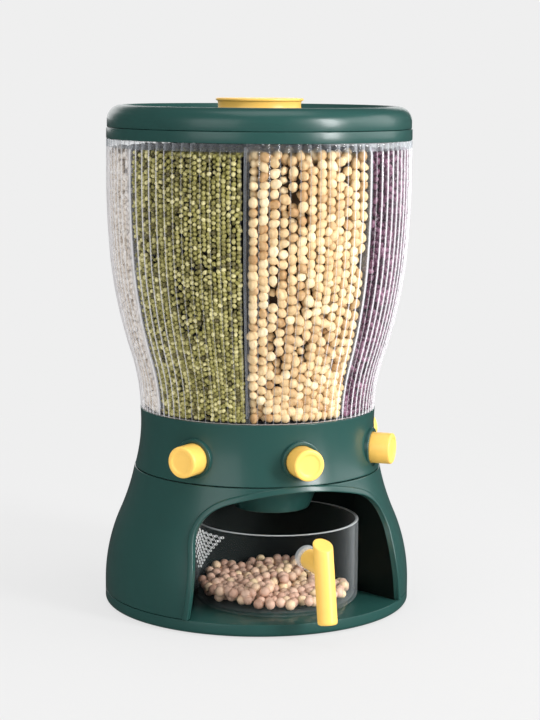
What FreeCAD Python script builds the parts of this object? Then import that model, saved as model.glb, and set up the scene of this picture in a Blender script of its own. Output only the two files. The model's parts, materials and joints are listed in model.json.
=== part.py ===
import FreeCAD
import Part

import math
import os

import Sketcher

# A countertop grain dispenser for dry beans, rice and other grain.
#
# A carousel of six compartments turns on a round base. It is divided in seven, and its last
# compartment takes two divisions. Each compartment has a push button low on the band round the
# carousel. The button drives a gate slide under its compartment: pushed in, the
# window in the gate stands under the hole in the hopper floor, and the grain falls through the port
# plate, the outlet in the deck and the chute into the cup that stands in the arched bay of the base.
# A coil spring behind each button closes the gate again.
#
# The origin is at the middle of the ring on which the rubber feet stand, +Z is up, the front with the
# arch and the cup faces -Y, and lengths are millimetres. The base is taken as 220 mm across.

SIZES = {
    # Counts
    "divisions": 7,
    "compartments": 6,
    "foot_count": 5,
    "hole_rows": 10,
    "spring_turns": 8,
    "chute_screw_count": 3,
    # Gaps
    "play": 0.3,
    "fit": 0.05,
    "snug": 0.2,
    "turn_gap": 0.2,
    "band_seam": 0.7,
    "hopper_seam": 0.4,
    # Base plate and its feet
    "base_radius": 110,
    "plate_clear": 0.8,
    "plate_height": 8.8,
    "plate_thickness": 3,
    "plate_rim": 6,
    "plate_round": 3.2,
    "plate_round_bulge": 0.9,
    "foot_radius": 8,
    "foot_height": 3,
    "foot_ring": 92,
    "foot_wall": 2.4,
    # Shell of the base
    "shell_height": 89.7,
    "shell_wall": 2.6,
    "shell_foot": 5.4,
    "shell_waist_inset": 10.4,
    "shell_waist_height": 55.4,
    "shell_top_radius": 88.7,
    "shell_swell": 2.65,
    "shell_flare": 0.99,
    "ledge_width": 2.1,
    "ledge_thickness": 2,
    # Arched opening in the shell and the lip round it
    "arch_margin": 3.3,
    "arch_crown": 7.1,
    "arch_shoulder": 47,
    "arch_corner_height": 31.9,
    "arch_corner_bulge": 6.5,
    "arch_knee": 73.2,
    "arch_foot": 78.6,
    "lip_width": 4.6,
    "lip_proud": 1.2,
    "lip_root": 1,
    # Wall of the bay behind the arch
    "bay_gap": 3,
    "bay_wall": 2.2,
    "bay_flare_half": 79.9,
    "bay_flare_forward": 83.4,
    # Deck, its pillars and the post on which the carousel turns
    "deck_drop": 3.7,
    "deck_thickness": 2.5,
    "pillar_ring": 72,
    "pillar_radius": 5,
    "pillar_angle_near": 80,
    "pillar_angle_far": 40,
    "post_radius": 7,
    "outlet_radius": 15.5,
    "outlet_shift": 0.5,
    "wiper_width": 1.5,
    "glide_inner": 66,
    "glide_width": 8,
    "glide_thickness": 1.8,
    "glide_groove": 0.6,
    # Chute under the deck
    "chute_setback": 13.7,
    "chute_gap": 6.7,
    "chute_wall": 2,
    "chute_mouth": 24.5,
    "chute_top": 31,
    "chute_flange": 40,
    "chute_flange_thickness": 2,
    "chute_screw_ring": 36.6,
    # Port plate
    "port_plate_thickness": 5,
    "port_skin": 2.4,
    "port_plate_inset": 4.5,
    "port_inner": 37,
    "port_length": 14,
    "port_half_inner": 8,
    "port_half_outer": 12,
    # Gate slides
    "gate_thickness": 2,
    "gate_half": 13.5,
    "gate_tip_half": 9,
    "gate_tip_land": 1.5,
    "gate_tip_taper": 9.5,
    "upright_thickness": 2,
    "upright_half": 9,
    "upright_hole": 6,
    "coupler_length": 4,
    "coupler_bore": 6.5,
    "stop_gap": 1,
    # Buttons
    "button_rise": 16.7,
    "button_radius": 11,
    "button_proud": 16.5,
    "button_travel": 16,
    "button_length": 20.5,
    "button_wall": 2,
    "button_face": 3,
    "button_edge": 1.3,
    "button_edge_bulge": 0.5,
    "dish_radius": 7.6,
    "dish_depth": 0.7,
    "dish_bulge": 0.15,
    "dish_flat": 2.5,
    "spring_seat_radius": 3.25,
    "spring_seat_length": 3,
    # Springs
    "spring_radius": 4.8,
    "spring_wire": 1,
    "pin_radius": 3,
    "pin_length": 12.5,
    "lug_half": 6,
    "lug_height": 17,
    "lug_thickness": 7,
    # Band round the buttons
    "band_height": 42.2,
    "band_step": 0.5,
    "band_waist": 3.7,
    "band_waist_bulge": 1.82,
    "band_wall": 2.5,
    "ring_width": 2.7,
    "ring_proud": 1.9,
    "ring_root": 5,
    "ring_edge": 0.8,
    "boss_radius": 4.4,
    "band_boss_ring": 79.5,
    "band_boss_height": 11.5,
    # Hopper floor
    "floor_plate": 2.2,
    "trough_margin": 1,
    "hub_rise": 21.5,
    "hub_wall": 3.8,
    "bushing_wall": 2.15,
    "knee_run": 6.5,
    "knee_rise": 21.8,
    "funnel_wall": 2.5,
    "funnel_side": 2.3,
    "rim_gap": 0.7,
    "rim_drop": 0.6,
    "floor_boss_ring": 60.2,
    "floor_boss_height": 13,
    # Hopper shell
    "hopper_wall": 2.6,
    "hopper_step": 0.2,
    "hopper_foot_rise": 0.8,
    "hopper_low_flare": 6.65,
    "hopper_low_height": 37.6,
    "hopper_low_bulge": 1.3,
    "hopper_mid_flare": 14.25,
    "hopper_mid_height": 64.5,
    "hopper_mid_bulge": 1.65,
    "hopper_top_flare": 3,
    "hopper_top_height": 72.5,
    "hopper_top_bulge": 1.01,
    "hopper_neck_height": 15.3,
    "spigot_width": 2.4,
    "spigot_height": 4.4,
    "neck_inset": 2.3,
    "neck_height": 5.7,
    # Dividers
    "column_bore": 11,
    "column_wall": 2,
    "vane_thickness": 1.6,
    "vane_drop": 2.3,
    # Collar on the hopper
    "collar_wall": 2,
    "collar_ring": 2.3,
    "collar_step": 8.2,
    # Lid
    "lid_step": 0.5,
    "lid_side": 4.4,
    "lid_height": 15.2,
    "lid_round": 8.7,
    "lid_round_bulge": 2.6,
    "lid_rim_width": 1.8,
    "lid_recess_slope": 3.2,
    "lid_recess_depth": 3.3,
    "lid_wall": 2.4,
    "liner_gap": 0.6,
    "liner_depth": 5.6,
    "liner_wall": 2.2,
    "liner_floor": 2,
    "seal_height": 2,
    "seal_depth": 1,
    "seal_drop": 1.1,
    "knob_neck_radius": 29.8,
    "knob_radius": 31,
    "knob_neck_height": 6.7,
    "knob_waist": 0.5,
    "knob_cap_height": 1.8,
    "knob_round": 0.7,
    "knob_round_bulge": 0.25,
    # Cup
    "cup_radius": 58.5,
    "cup_setback": 13.2,
    "cup_height": 58.2,
    "cup_wall": 2.2,
    "cup_foot_inset": 5.5,
    "cup_corner": 5,
    "sieve_start": 45,
    "cup_corner_bulge": 1.4,
    "hole_radius": 0.9,
    "hole_pitch": 2.84,
    "hole_drop": 5.4,
    # Handle of the cup
    "boss_height": 42.6,
    "boss_radius_handle": 7,
    "socket_wall": 1.2,
    "socket_length": 7,
    "socket_seat": 0.5,
    "grip_radius": 6.8,
    "grip_forward": 31.7,
    "grip_above": 15.4,
    "grip_below": 38.2,
    "grip_tilt": 10.9,
    "grip_round": 1.6,
    "grip_round_bulge": 0.6,
    "grip_slant": 32,
    # Screws
    "screw_radius": 1.7,
    "screw_head_radius": 3.2,
    "screw_head_height": 2.1,
    "screw_bite": 8,
    "small_screw_radius": 1.2,
    "small_screw_head_radius": 2.4,
    "small_screw_head_height": 1.5,
    "small_screw_bite": 1.8,
    "drive_radius": 1,
    "drive_depth": 1.1,
    "spindle_radius": 2.5,
    "spindle_bite": 16,
    "spindle_head_radius": 4.6,
    "spindle_head_height": 3.2,
    "washer_radius": 10.5,
    "washer_thickness": 1.6,
}

# A cut that takes away less than this volume counts as cutting nothing
LEAST_CUT = 0.01

document = FreeCAD.newDocument("GrainDispenser")
pieces = []


class Size:
    """A number together with the text by which the spreadsheet works it out."""

    def __init__(self, number, text):
        self.number = number
        self.text = text

    def __add__(self, other):
        other = as_size(other)
        return Size(self.number + other.number, "(%s + %s)" % (self.text, other.text))

    def __sub__(self, other):
        other = as_size(other)
        return Size(self.number - other.number, "(%s - %s)" % (self.text, other.text))

    def __mul__(self, other):
        other = as_size(other)
        return Size(self.number * other.number, "(%s * %s)" % (self.text, other.text))

    def __truediv__(self, other):
        other = as_size(other)
        return Size(self.number / other.number, "(%s / %s)" % (self.text, other.text))

    def __neg__(self):
        return Size(-self.number, "(-1 * %s)" % self.text)

    def __abs__(self):
        return Size(abs(self.number), "abs(%s)" % self.text)

    def __radd__(self, other):
        return as_size(other) + self

    def __rsub__(self, other):
        return as_size(other) - self

    def __rmul__(self, other):
        return as_size(other) * self

    def __rtruediv__(self, other):
        return as_size(other) / self


def as_size(value):
    """Return a plain number as a Size, and a Size as it is."""
    if isinstance(value, Size):
        return value
    return Size(float(value), "(%r)" % float(value))


def sine(angle):
    """Sine of an angle in degrees."""
    angle = as_size(angle)
    return Size(math.sin(math.radians(angle.number)), "sin(%s)" % angle.text)


def cosine(angle):
    """Cosine of an angle in degrees."""
    angle = as_size(angle)
    return Size(math.cos(math.radians(angle.number)), "cos(%s)" % angle.text)


def tangent(angle):
    """Tangent of an angle in degrees."""
    return sine(angle) / cosine(angle)


class SizeSheet:
    """The document's spreadsheet of driving sizes, read by name as Size objects."""

    def __init__(self, values):
        self.values = values
        self.sheet = document.addObject("Spreadsheet::Sheet", "Sizes")
        for row, (name, value) in enumerate(values.items(), start=1):
            self.sheet.set("A%d" % row, name)
            self.sheet.set("B%d" % row, str(value))
            self.sheet.setAlias("B%d" % row, name)
        document.recompute()

    def __getattr__(self, name):
        return Size(float(self.values[name]), "Sizes." + name)


s = SizeSheet(SIZES)


def edge_between(start, end):
    """The straight or round sketch edge from one corner to the next."""
    first = FreeCAD.Vector(start[0].number, start[1].number, 0)
    last = FreeCAD.Vector(end[0].number, end[1].number, 0)
    if len(end) == 2:
        return Part.LineSegment(first, last)
    along = last - first
    side = FreeCAD.Vector(-along.y, along.x, 0).normalize()
    middle = (first + last) * 0.5 + side * end[2].number
    return Part.Arc(first, middle, last)


def add_outline(sketch, corners):
    """Draw one closed outline of (x, y) or (x, y, bulge) corners, each bound to the sizes.

    The bulge is how far the round edge that ends in the corner stands out to the left of its chord.
    """
    corners = [tuple(as_size(value) for value in corner) for corner in corners]
    first = len(sketch.Geometry)
    count = len(corners)
    starts = []
    ends = []
    for index, corner in enumerate(corners):
        following = corners[(index + 1) % count]
        sketch.addGeometry(edge_between(corner, following), False)
        clockwise = len(following) == 3 and following[2].number > 0
        starts.append(2 if clockwise else 1)
        ends.append(1 if clockwise else 2)
    for index, corner in enumerate(corners):
        edge = first + index
        after = (index + 1) % count
        following = corners[after]
        joint = Sketcher.Constraint("Coincident", edge, ends[index], first + after, starts[after])
        sketch.addConstraint(joint)
        for kind, value in (("DistanceX", corner[0]), ("DistanceY", corner[1])):
            bind(sketch, Sketcher.Constraint(kind, -1, 1, edge, starts[index], value.number), value)
        if len(following) == 3:
            across = following[0] - corner[0]
            up = following[1] - corner[1]
            bulge = abs(following[2])
            radius = (across * across + up * up) / (8 * bulge) + bulge / 2
            bind(sketch, Sketcher.Constraint("Radius", edge, radius.number), radius)


def add_circle(sketch, circle):
    """Draw one circle of (x, y, radius), bound to the sizes."""
    x, y, radius = [as_size(value) for value in circle]
    centre = FreeCAD.Vector(x.number, y.number, 0)
    edge = sketch.addGeometry(Part.Circle(centre, FreeCAD.Vector(0, 0, 1), radius.number), False)
    bind(sketch, Sketcher.Constraint("DistanceX", -1, 1, edge, 3, x.number), x)
    bind(sketch, Sketcher.Constraint("DistanceY", -1, 1, edge, 3, y.number), y)
    bind(sketch, Sketcher.Constraint("Radius", edge, radius.number), radius)


def bind(sketch, constraint, value):
    """Add a constraint whose value follows a Size."""
    index = sketch.addConstraint(constraint)
    sketch.setExpression("Constraints[%d]" % index, value.text)


class Piece:
    """One sub-part: a body with sketches on its own origin planes."""

    def __init__(self, name, placement=None):
        self.name = name
        self.body = document.addObject("PartDesign::Body", name)
        self.body.Label = name
        self.origin = {}
        for feature in self.body.Origin.OriginFeatures:
            self.origin[feature.Role] = feature
        if placement:
            self.body.setExpression("Placement", placement)
        self.cuts = []
        pieces.append(self)

    def sketch(self, plane, start, outlines=(), circles=(), lean=None):
        """A sketch on an origin plane, moved along the plane's normal by start and leaned about its X."""
        start = as_size(start)
        sketch = self.body.newObject("Sketcher::SketchObject", self.name + "_sketch")
        sketch.AttachmentSupport = [(self.origin[plane], "")]
        sketch.MapMode = "FlatFace"
        turn = FreeCAD.Rotation(FreeCAD.Vector(1, 0, 0), lean.number if lean else 0)
        sketch.AttachmentOffset = FreeCAD.Placement(FreeCAD.Vector(0, 0, start.number), turn)
        sketch.setExpression("AttachmentOffset.Base.z", start.text)
        if lean:
            sketch.setExpression("AttachmentOffset.Rotation.Angle", lean.text)
        for outline in outlines:
            add_outline(sketch, outline)
        for circle in circles:
            add_circle(sketch, circle)
        return sketch

    def turned(self, kind, outlines):
        """Turn outlines of (radius, height) corners about the body's Z axis."""
        feature = self.body.newObject("PartDesign::" + kind, self.name + "_" + kind.lower())
        feature.Profile = self.sketch("XZ_Plane", 0, outlines)
        feature.ReferenceAxis = (self.origin["Z_Axis"], [""])
        feature.Angle = 360
        return feature

    def revolve(self, *outlines):
        """Add a turned solid."""
        return self.turned("Revolution", outlines)

    def groove(self, *outlines):
        """Cut a turned solid away."""
        feature = self.turned("Groove", outlines)
        self.cuts.append(feature)
        return feature

    def extruded(self, kind, plane, start, length, outlines, circles, symmetric, lean, backward):
        """Extrude a sketch along its plane's normal."""
        length = as_size(length)
        feature = self.body.newObject("PartDesign::" + kind, self.name + "_" + kind.lower())
        feature.Profile = self.sketch(plane, start, outlines, circles, lean)
        feature.setExpression("Length", length.text)
        if symmetric:
            feature.SideType = "Symmetric"
        feature.Reversed = (kind == "Pocket") != backward
        return feature

    def pad(self, plane, start, length, outlines=(), circles=(), symmetric=False, lean=None,
            backward=False):
        """Add an extrusion that starts at a distance along the plane's normal."""
        return self.extruded("Pad", plane, start, length, outlines, circles, symmetric, lean, backward)

    def pocket(self, plane, start, length, outlines=(), circles=(), symmetric=False, lean=None,
               backward=False):
        """Cut an extrusion away, measured as a pad is."""
        feature = self.extruded("Pocket", plane, start, length, outlines, circles, symmetric, lean,
                                backward)
        self.cuts.append(feature)
        return feature

    def around(self, features):
        """Repeat features of one compartment for all of them, one division of the carousel apart."""
        pattern = self.body.newObject("PartDesign::PolarPattern", self.name + "_pattern")
        pattern.Originals = features
        pattern.Axis = (self.origin["Z_Axis"], [""])
        pattern.setExpression("Angle", (2 * half_pitch * (s.compartments - 1)).text)
        pattern.setExpression("Occurrences", s.compartments.text)
        self.body.Tip = pattern
        return pattern


def turned_by(angle):
    """Placement of a body that is turned about the Z axis."""
    return "placement(vector(0; 0; 0); rotation(vector(0; 0; 1); %s))" % angle.text


def box_outline(x_low, y_low, x_high, y_high):
    """The four corners of an upright rectangle."""
    return [(x_low, y_low), (x_high, y_low), (x_high, y_high), (x_low, y_high)]


def quarter_bulge(radius):
    """How far a quarter circle stands out from its chord."""
    return radius * (1 - cosine(45))


def keystone(inner):
    """Outline of a port whose narrow end is at the given radius in front of the axis."""
    outer = inner + s.port_length
    return [
        (-s.port_half_inner, -inner),
        (s.port_half_inner, -inner),
        (s.port_half_outer, -outer),
        (-s.port_half_outer, -outer),
    ]


def ring_of(radius, count, hole, first_angle=0):
    """Circles round the Z axis, the first one at an angle from the front."""
    circles = []
    for index in range(round(count.number)):
        angle = first_angle + 360 * index / count
        circles.append((radius * sine(angle), -radius * cosine(angle), hole))
    return circles


def resized(circles, radius):
    """The same circles with another radius."""
    return [(x, y, radius) for x, y, _ in circles]


def screws(name, circles, seat, bite_from, bite, head_radius, head_height, shank_radius, placement=None):
    """Screws that are driven upwards, with their heads under a seat, as one piece of separate solids."""
    piece = Piece(name, placement)
    piece.pad("XY_Plane", seat - head_height, head_height, circles=resized(circles, head_radius))
    reach = bite_from + bite - seat
    piece.pad("XY_Plane", seat, reach, circles=resized(circles, shank_radius))
    piece.pocket("XY_Plane", seat - head_height, s.drive_depth, circles=resized(circles, s.drive_radius))
    return piece


# Heights of the seams, from the ground up
plate_bottom = s.plate_clear
plate_top = plate_bottom + s.plate_height
plate_underside = plate_top - s.plate_thickness
shell_top = plate_top + s.shell_height
deck_bottom = shell_top - s.deck_drop
deck_top = deck_bottom + s.deck_thickness
rotor_bottom = shell_top + s.turn_gap
port_plate_top = rotor_bottom + s.port_plate_thickness
channel_floor = rotor_bottom + s.port_skin
gate_bottom = channel_floor + s.play
gate_top = gate_bottom + s.gate_thickness
trough_top = port_plate_top + s.floor_plate
hub_top = port_plate_top + s.hub_rise
band_bottom = shell_top + s.band_seam
band_top = band_bottom + s.band_height
button_height = band_bottom + s.button_rise
knee_height = trough_top + s.knee_rise
rim_top = band_top - s.rim_drop
hopper_shoulder = band_top + s.hopper_seam
hopper_foot = hopper_shoulder + s.hopper_foot_rise
hopper_low = hopper_foot + s.hopper_low_height
hopper_mid = hopper_low + s.hopper_mid_height
hopper_top = hopper_mid + s.hopper_top_height
hopper_neck = hopper_top + s.hopper_neck_height
collar_ring_bottom = hopper_neck + s.neck_height
collar_top = collar_ring_bottom + s.collar_ring
lid_bottom = collar_top + s.play
lid_top = lid_bottom + s.lid_height
lid_recess = lid_top - s.lid_recess_depth
cup_bottom = plate_top + s.play
cup_top = cup_bottom + s.cup_height

# Distances from the axis that several pieces share
band_bottom_radius = s.shell_top_radius - s.band_step
band_top_radius = band_bottom_radius - s.band_waist
hopper_foot_radius = band_top_radius - s.hopper_step
hopper_low_radius = hopper_foot_radius + s.hopper_low_flare
hopper_mid_radius = hopper_low_radius + s.hopper_mid_flare
hopper_top_radius = hopper_mid_radius + s.hopper_top_flare
collar_bore = hopper_top_radius - s.collar_step
lid_radius = hopper_top_radius - s.lid_step
lid_rim_radius = lid_radius - s.lid_round
lid_rim_inner = lid_rim_radius - s.lid_rim_width
lid_recess_radius = lid_rim_inner - s.lid_recess_slope
cup_forward = s.base_radius - s.cup_setback - s.cup_radius
deck_radius = s.shell_top_radius - s.shell_wall
outlet_forward = s.port_inner + s.port_length / 2 - s.outlet_shift
port_outer = s.port_inner + s.port_length
port_plate_radius = s.shell_top_radius - s.port_plate_inset
trough_inner = s.port_inner - s.trough_margin
trough_outer = port_outer + s.trough_margin
button_front = band_top_radius + s.button_proud
gate_end = button_front - s.button_length
upright_inner = gate_end - s.upright_thickness
lug_front = upright_inner - s.button_travel - s.stop_gap
gate_tip = s.port_inner - s.gate_tip_land
spring_end = button_front - s.button_face
bushing_bore = s.post_radius + s.fit
bushing_radius = bushing_bore + s.bushing_wall
hub_bore = bushing_radius + s.fit
hub_radius = hub_bore + s.hub_wall
rim_radius = band_top_radius - s.band_wall - s.rim_gap
bay_radius = s.cup_radius + s.bay_gap
chute_forward = outlet_forward - s.chute_setback
half_pitch = 180 / s.divisions
first_turn = -2 * half_pitch


def pillar_circles(radius):
    """The four places where the deck's pillars stand, behind and beside the bay."""
    circles = []
    for angle in (s.pillar_angle_far, s.pillar_angle_near):
        across = s.pillar_ring * sine(angle)
        back = s.pillar_ring * cosine(angle)
        circles.append((across, back, radius))
        circles.append((-across, back, radius))
    return circles


def arch_outline(grow, low):
    """The arched opening seen from the front, grown on all sides, from a height up."""
    apex = shell_top - s.arch_margin + grow
    shoulder = apex - s.arch_crown
    knee = shoulder - s.arch_corner_height
    return [
        (-(s.arch_foot + grow), low),
        (s.arch_foot + grow, low),
        (s.arch_knee + grow, knee),
        (s.arch_shoulder + grow, shoulder, -s.arch_corner_bulge),
        (-(s.arch_shoulder + grow), shoulder, -s.arch_crown),
        (-(s.arch_knee + grow), knee, -s.arch_corner_bulge),
    ]


def shell_side(inset):
    """Corners of the shell's outer face, moved inwards, from the foot to the top."""
    waist = plate_top + s.shell_waist_height
    return [
        (s.base_radius - inset, plate_top),
        (s.base_radius - inset, plate_top + s.shell_foot),
        (s.base_radius - s.shell_waist_inset - inset, waist, -s.shell_swell),
        (s.shell_top_radius - inset, shell_top, s.shell_flare),
    ]


def backwards(corners):
    """The same chain of corners in the other direction, with its bulges on the same edges."""
    result = []
    bulge = None
    for corner in reversed(corners):
        point = (corner[0], corner[1])
        result.append(point if bulge is None else point + (-bulge,))
        bulge = corner[2] if len(corner) == 3 else None
    return result


def foot_circles(radius):
    """Places of the feet: a ring of them and one in the middle."""
    return ring_of(s.foot_ring, s.foot_count, radius, 180) + [(0, 0, radius)]


def make_base_plate():
    """Round plate with a rim, open below, with seats for the feet."""
    piece = Piece("base_plate")
    rim_inner = s.base_radius - s.plate_rim
    piece.revolve([
        (0, plate_underside),
        (rim_inner, plate_underside),
        (rim_inner, plate_bottom),
        (s.base_radius - s.plate_round, plate_bottom),
        (s.base_radius, plate_bottom + s.plate_round, -s.plate_round_bulge),
        (s.base_radius, plate_top),
        (0, plate_top),
    ])
    feet = foot_circles(s.foot_radius + s.foot_wall)
    piece.pad("XY_Plane", plate_bottom, plate_underside - plate_bottom, circles=feet)
    seats = resized(feet, s.foot_radius + s.fit)
    piece.pocket("XY_Plane", plate_bottom, s.foot_height - plate_bottom, circles=seats)
    piece.pocket("XY_Plane", plate_underside, s.plate_thickness,
                 circles=pillar_circles(s.screw_radius + s.snug))


def make_rubber_feet():
    """Rubber pads in the seats of the base plate."""
    piece = Piece("rubber_feet")
    piece.pad("XY_Plane", 0, s.foot_height, circles=foot_circles(s.foot_radius))


def make_base_shell():
    """Flared shell with the arched opening in front and a lip round it."""
    piece = Piece("base_shell")
    proud = shell_side(-s.lip_proud)
    piece.revolve(proud + backwards(shell_side(s.lip_root)))
    reach = s.base_radius + s.lip_proud + s.play
    piece.pocket("XZ_Plane", -reach, reach, outlines=[box_outline(-reach, 0, reach, lid_top)])
    above = box_outline(-reach, 0, reach, lid_top)
    piece.pocket("XZ_Plane", 0, reach, outlines=[above, arch_outline(s.lip_width, s.plate_clear)])
    piece.revolve(shell_side(0) + backwards(shell_side(s.shell_wall)))
    ledge_radius = deck_radius - s.ledge_width
    piece.revolve(box_outline(ledge_radius, deck_bottom - s.ledge_thickness,
                              deck_radius + s.shell_wall / 2, deck_bottom))
    piece.pocket("XZ_Plane", cup_forward, reach - cup_forward, outlines=[arch_outline(0, plate_bottom)])


def make_bay_wall():
    """Upright wall round the place of the cup, open to the front."""
    piece = Piece("bay_wall")
    outer = bay_radius + s.bay_wall
    flare = s.bay_flare_half
    flare_outer = flare + s.bay_wall
    piece.pad("XY_Plane", plate_top, deck_bottom - plate_top, outlines=[[
        (flare, -s.bay_flare_forward),
        (bay_radius, -cup_forward),
        (0, bay_radius - cup_forward, -quarter_bulge(bay_radius)),
        (-bay_radius, -cup_forward, -quarter_bulge(bay_radius)),
        (-flare, -s.bay_flare_forward),
        (-flare_outer, -s.bay_flare_forward),
        (-outer, -cup_forward),
        (0, outer - cup_forward, quarter_bulge(outer)),
        (outer, -cup_forward, quarter_bulge(outer)),
        (flare_outer, -s.bay_flare_forward),
    ]])
    inner_side = shell_side(s.shell_wall + s.fit)
    beyond = s.base_radius + s.bay_flare_forward
    piece.groove(inner_side + [(beyond, shell_top), (beyond, plate_top)])
    ledge_radius = deck_radius - s.ledge_width - s.fit
    piece.groove(box_outline(ledge_radius, deck_bottom - s.ledge_thickness - s.fit, beyond, shell_top))


def make_deck():
    """Round deck over the bay with its pillars, the outlet and the post for the carousel."""
    piece = Piece("deck")
    groove_outer = s.glide_inner + s.glide_width + s.fit
    groove_floor = deck_top - s.glide_groove
    piece.revolve([
        (0, deck_bottom),
        (deck_radius - s.fit, deck_bottom),
        (deck_radius - s.fit, deck_top),
        (groove_outer, deck_top),
        (groove_outer, groove_floor),
        (s.glide_inner - s.fit, groove_floor),
        (s.glide_inner - s.fit, deck_top),
        (s.post_radius, deck_top),
        (s.post_radius, hub_top + s.play),
        (0, hub_top + s.play),
    ])
    piece.pad("XY_Plane", plate_top, deck_bottom - plate_top, circles=pillar_circles(s.pillar_radius))
    outlet = (0, -outlet_forward, s.outlet_radius)
    wiper = (0, -outlet_forward, s.outlet_radius + s.wiper_width)
    piece.pad("XY_Plane", deck_top, rotor_bottom - s.play - deck_top, circles=[wiper])
    piece.pocket("XY_Plane", deck_bottom, rotor_bottom - deck_bottom, circles=[outlet])
    piece.pocket("XY_Plane", plate_top, s.screw_bite + s.play, circles=pillar_circles(s.screw_radius + s.fit))
    depth = s.spindle_bite + s.stop_gap
    piece.pocket("XY_Plane", hub_top + s.play - depth, depth, circles=[(0, 0, s.spindle_radius + s.fit)])
    holes = chute_screw_circles(s.small_screw_radius + s.fit)
    piece.pocket("XY_Plane", deck_bottom, s.small_screw_bite + s.snug, circles=holes)


def chute_screw_circles(radius):
    """Places of the chute's screws, the first one behind the chute."""
    circles = ring_of(s.chute_screw_ring, s.chute_screw_count, radius, 180)
    return [(x, y - chute_forward, hole) for x, y, hole in circles]


def make_base_screws():
    """Screws that hold the deck's pillars on the base plate."""
    screws("base_screws", pillar_circles(s.screw_radius), plate_underside, plate_top, s.screw_bite,
           s.screw_head_radius, s.screw_head_height, s.screw_radius)


def make_glide_ring():
    """Slippery ring in the deck on which the carousel turns."""
    piece = Piece("glide_ring")
    floor = deck_top - s.glide_groove
    piece.revolve(box_outline(s.glide_inner, floor, s.glide_inner + s.glide_width, floor + s.glide_thickness))


def make_chute():
    """Funnel under the outlet that leads the grain into the cup."""
    piece = Piece("chute", "placement(vector(0; %s; 0); rotation(vector(0; 0; 1); 0))" % (-chute_forward).text)
    bottom = cup_top + s.chute_gap
    flange_bottom = deck_bottom - s.chute_flange_thickness
    piece.revolve([
        (s.chute_mouth, bottom),
        (s.chute_mouth + s.chute_wall, bottom),
        (s.chute_top + s.chute_wall, flange_bottom),
        (s.chute_flange, flange_bottom),
        (s.chute_flange, deck_bottom),
        (s.chute_top, deck_bottom),
    ])
    holes = ring_of(s.chute_screw_ring, s.chute_screw_count, s.small_screw_radius + s.snug, 180)
    piece.pocket("XY_Plane", flange_bottom, s.chute_flange_thickness, circles=holes)


def make_chute_screws():
    """Screws that hold the chute's flange under the deck."""
    screws("chute_screws", chute_screw_circles(s.small_screw_radius),
           deck_bottom - s.chute_flange_thickness, deck_bottom, s.small_screw_bite,
           s.small_screw_head_radius, s.small_screw_head_height, s.small_screw_radius)


def make_spindle():
    """Washer and screw on the post that keep the carousel down."""
    washer = Piece("spindle_washer")
    low = hub_top + s.play
    high = low + s.washer_thickness
    washer.revolve(box_outline(s.spindle_radius + s.snug, low, s.washer_radius, high))
    screw = Piece("spindle_screw")
    head_top = high + s.spindle_head_height
    screw.revolve([
        (0, low - s.spindle_bite),
        (s.spindle_radius, low - s.spindle_bite),
        (s.spindle_radius, high),
        (s.spindle_head_radius, high),
        (s.spindle_head_radius, head_top),
        (0, head_top),
    ])
    screw.pocket("XY_Plane", head_top - s.drive_depth, s.drive_depth, circles=[(0, 0, s.spindle_radius)])


def band_boss_circles(radius):
    """Places of the bosses on the button band, between the buttons."""
    return ring_of(s.band_boss_ring, s.divisions, radius, half_pitch)


def floor_boss_circles(radius):
    """Places of the bosses under the hopper floor, between the gates."""
    return ring_of(s.floor_boss_ring, s.divisions, radius, half_pitch)


def gate_outline(grow):
    """Plan of a gate slide at rest, with its tapered tip, grown by a gap."""
    taper = gate_tip + s.gate_tip_taper
    return [
        (-(s.gate_tip_half + grow), -(gate_tip - grow)),
        (s.gate_tip_half + grow, -(gate_tip - grow)),
        (s.gate_half + grow, -taper),
        (s.gate_half + grow, -gate_end),
        (-(s.gate_half + grow), -gate_end),
        (-(s.gate_half + grow), -taper),
    ]


def make_port_plate():
    """Floor plate of the carousel with a channel and a port for each gate."""
    piece = Piece("port_plate", turned_by(first_turn))
    piece.revolve(box_outline(hub_bore, rotor_bottom, port_plate_radius, port_plate_top))
    depth = port_plate_top - channel_floor
    pressed_tip = gate_tip - s.button_travel - s.play
    middle_radius = pressed_tip + s.gate_tip_taper
    piece.groove([
        (pressed_tip, channel_floor),
        (middle_radius + s.gate_tip_taper, channel_floor),
        (middle_radius + s.gate_tip_taper, port_plate_top),
        (pressed_tip, port_plate_top),
    ])
    channel_half = s.gate_half + s.snug
    channel = piece.pocket("XY_Plane", channel_floor, depth, outlines=[
        box_outline(-channel_half, -(port_plate_radius + s.play), channel_half, -(middle_radius + s.play)),
    ])
    piece.around([channel])
    port = piece.pocket("XY_Plane", rotor_bottom, s.port_skin, outlines=[keystone(s.port_inner)])
    piece.around([port])
    for circles in (band_boss_circles, floor_boss_circles):
        piece.pocket("XY_Plane", rotor_bottom, s.screw_head_height + s.play,
                     circles=circles(s.screw_head_radius + s.snug))
        piece.pocket("XY_Plane", rotor_bottom, s.port_plate_thickness,
                     circles=circles(s.screw_radius + s.snug))


def make_hub_bushing():
    """Plain bearing bush between the post and the hub."""
    piece = Piece("hub_bushing")
    piece.revolve(box_outline(bushing_bore, rotor_bottom, bushing_radius, hub_top))


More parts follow.
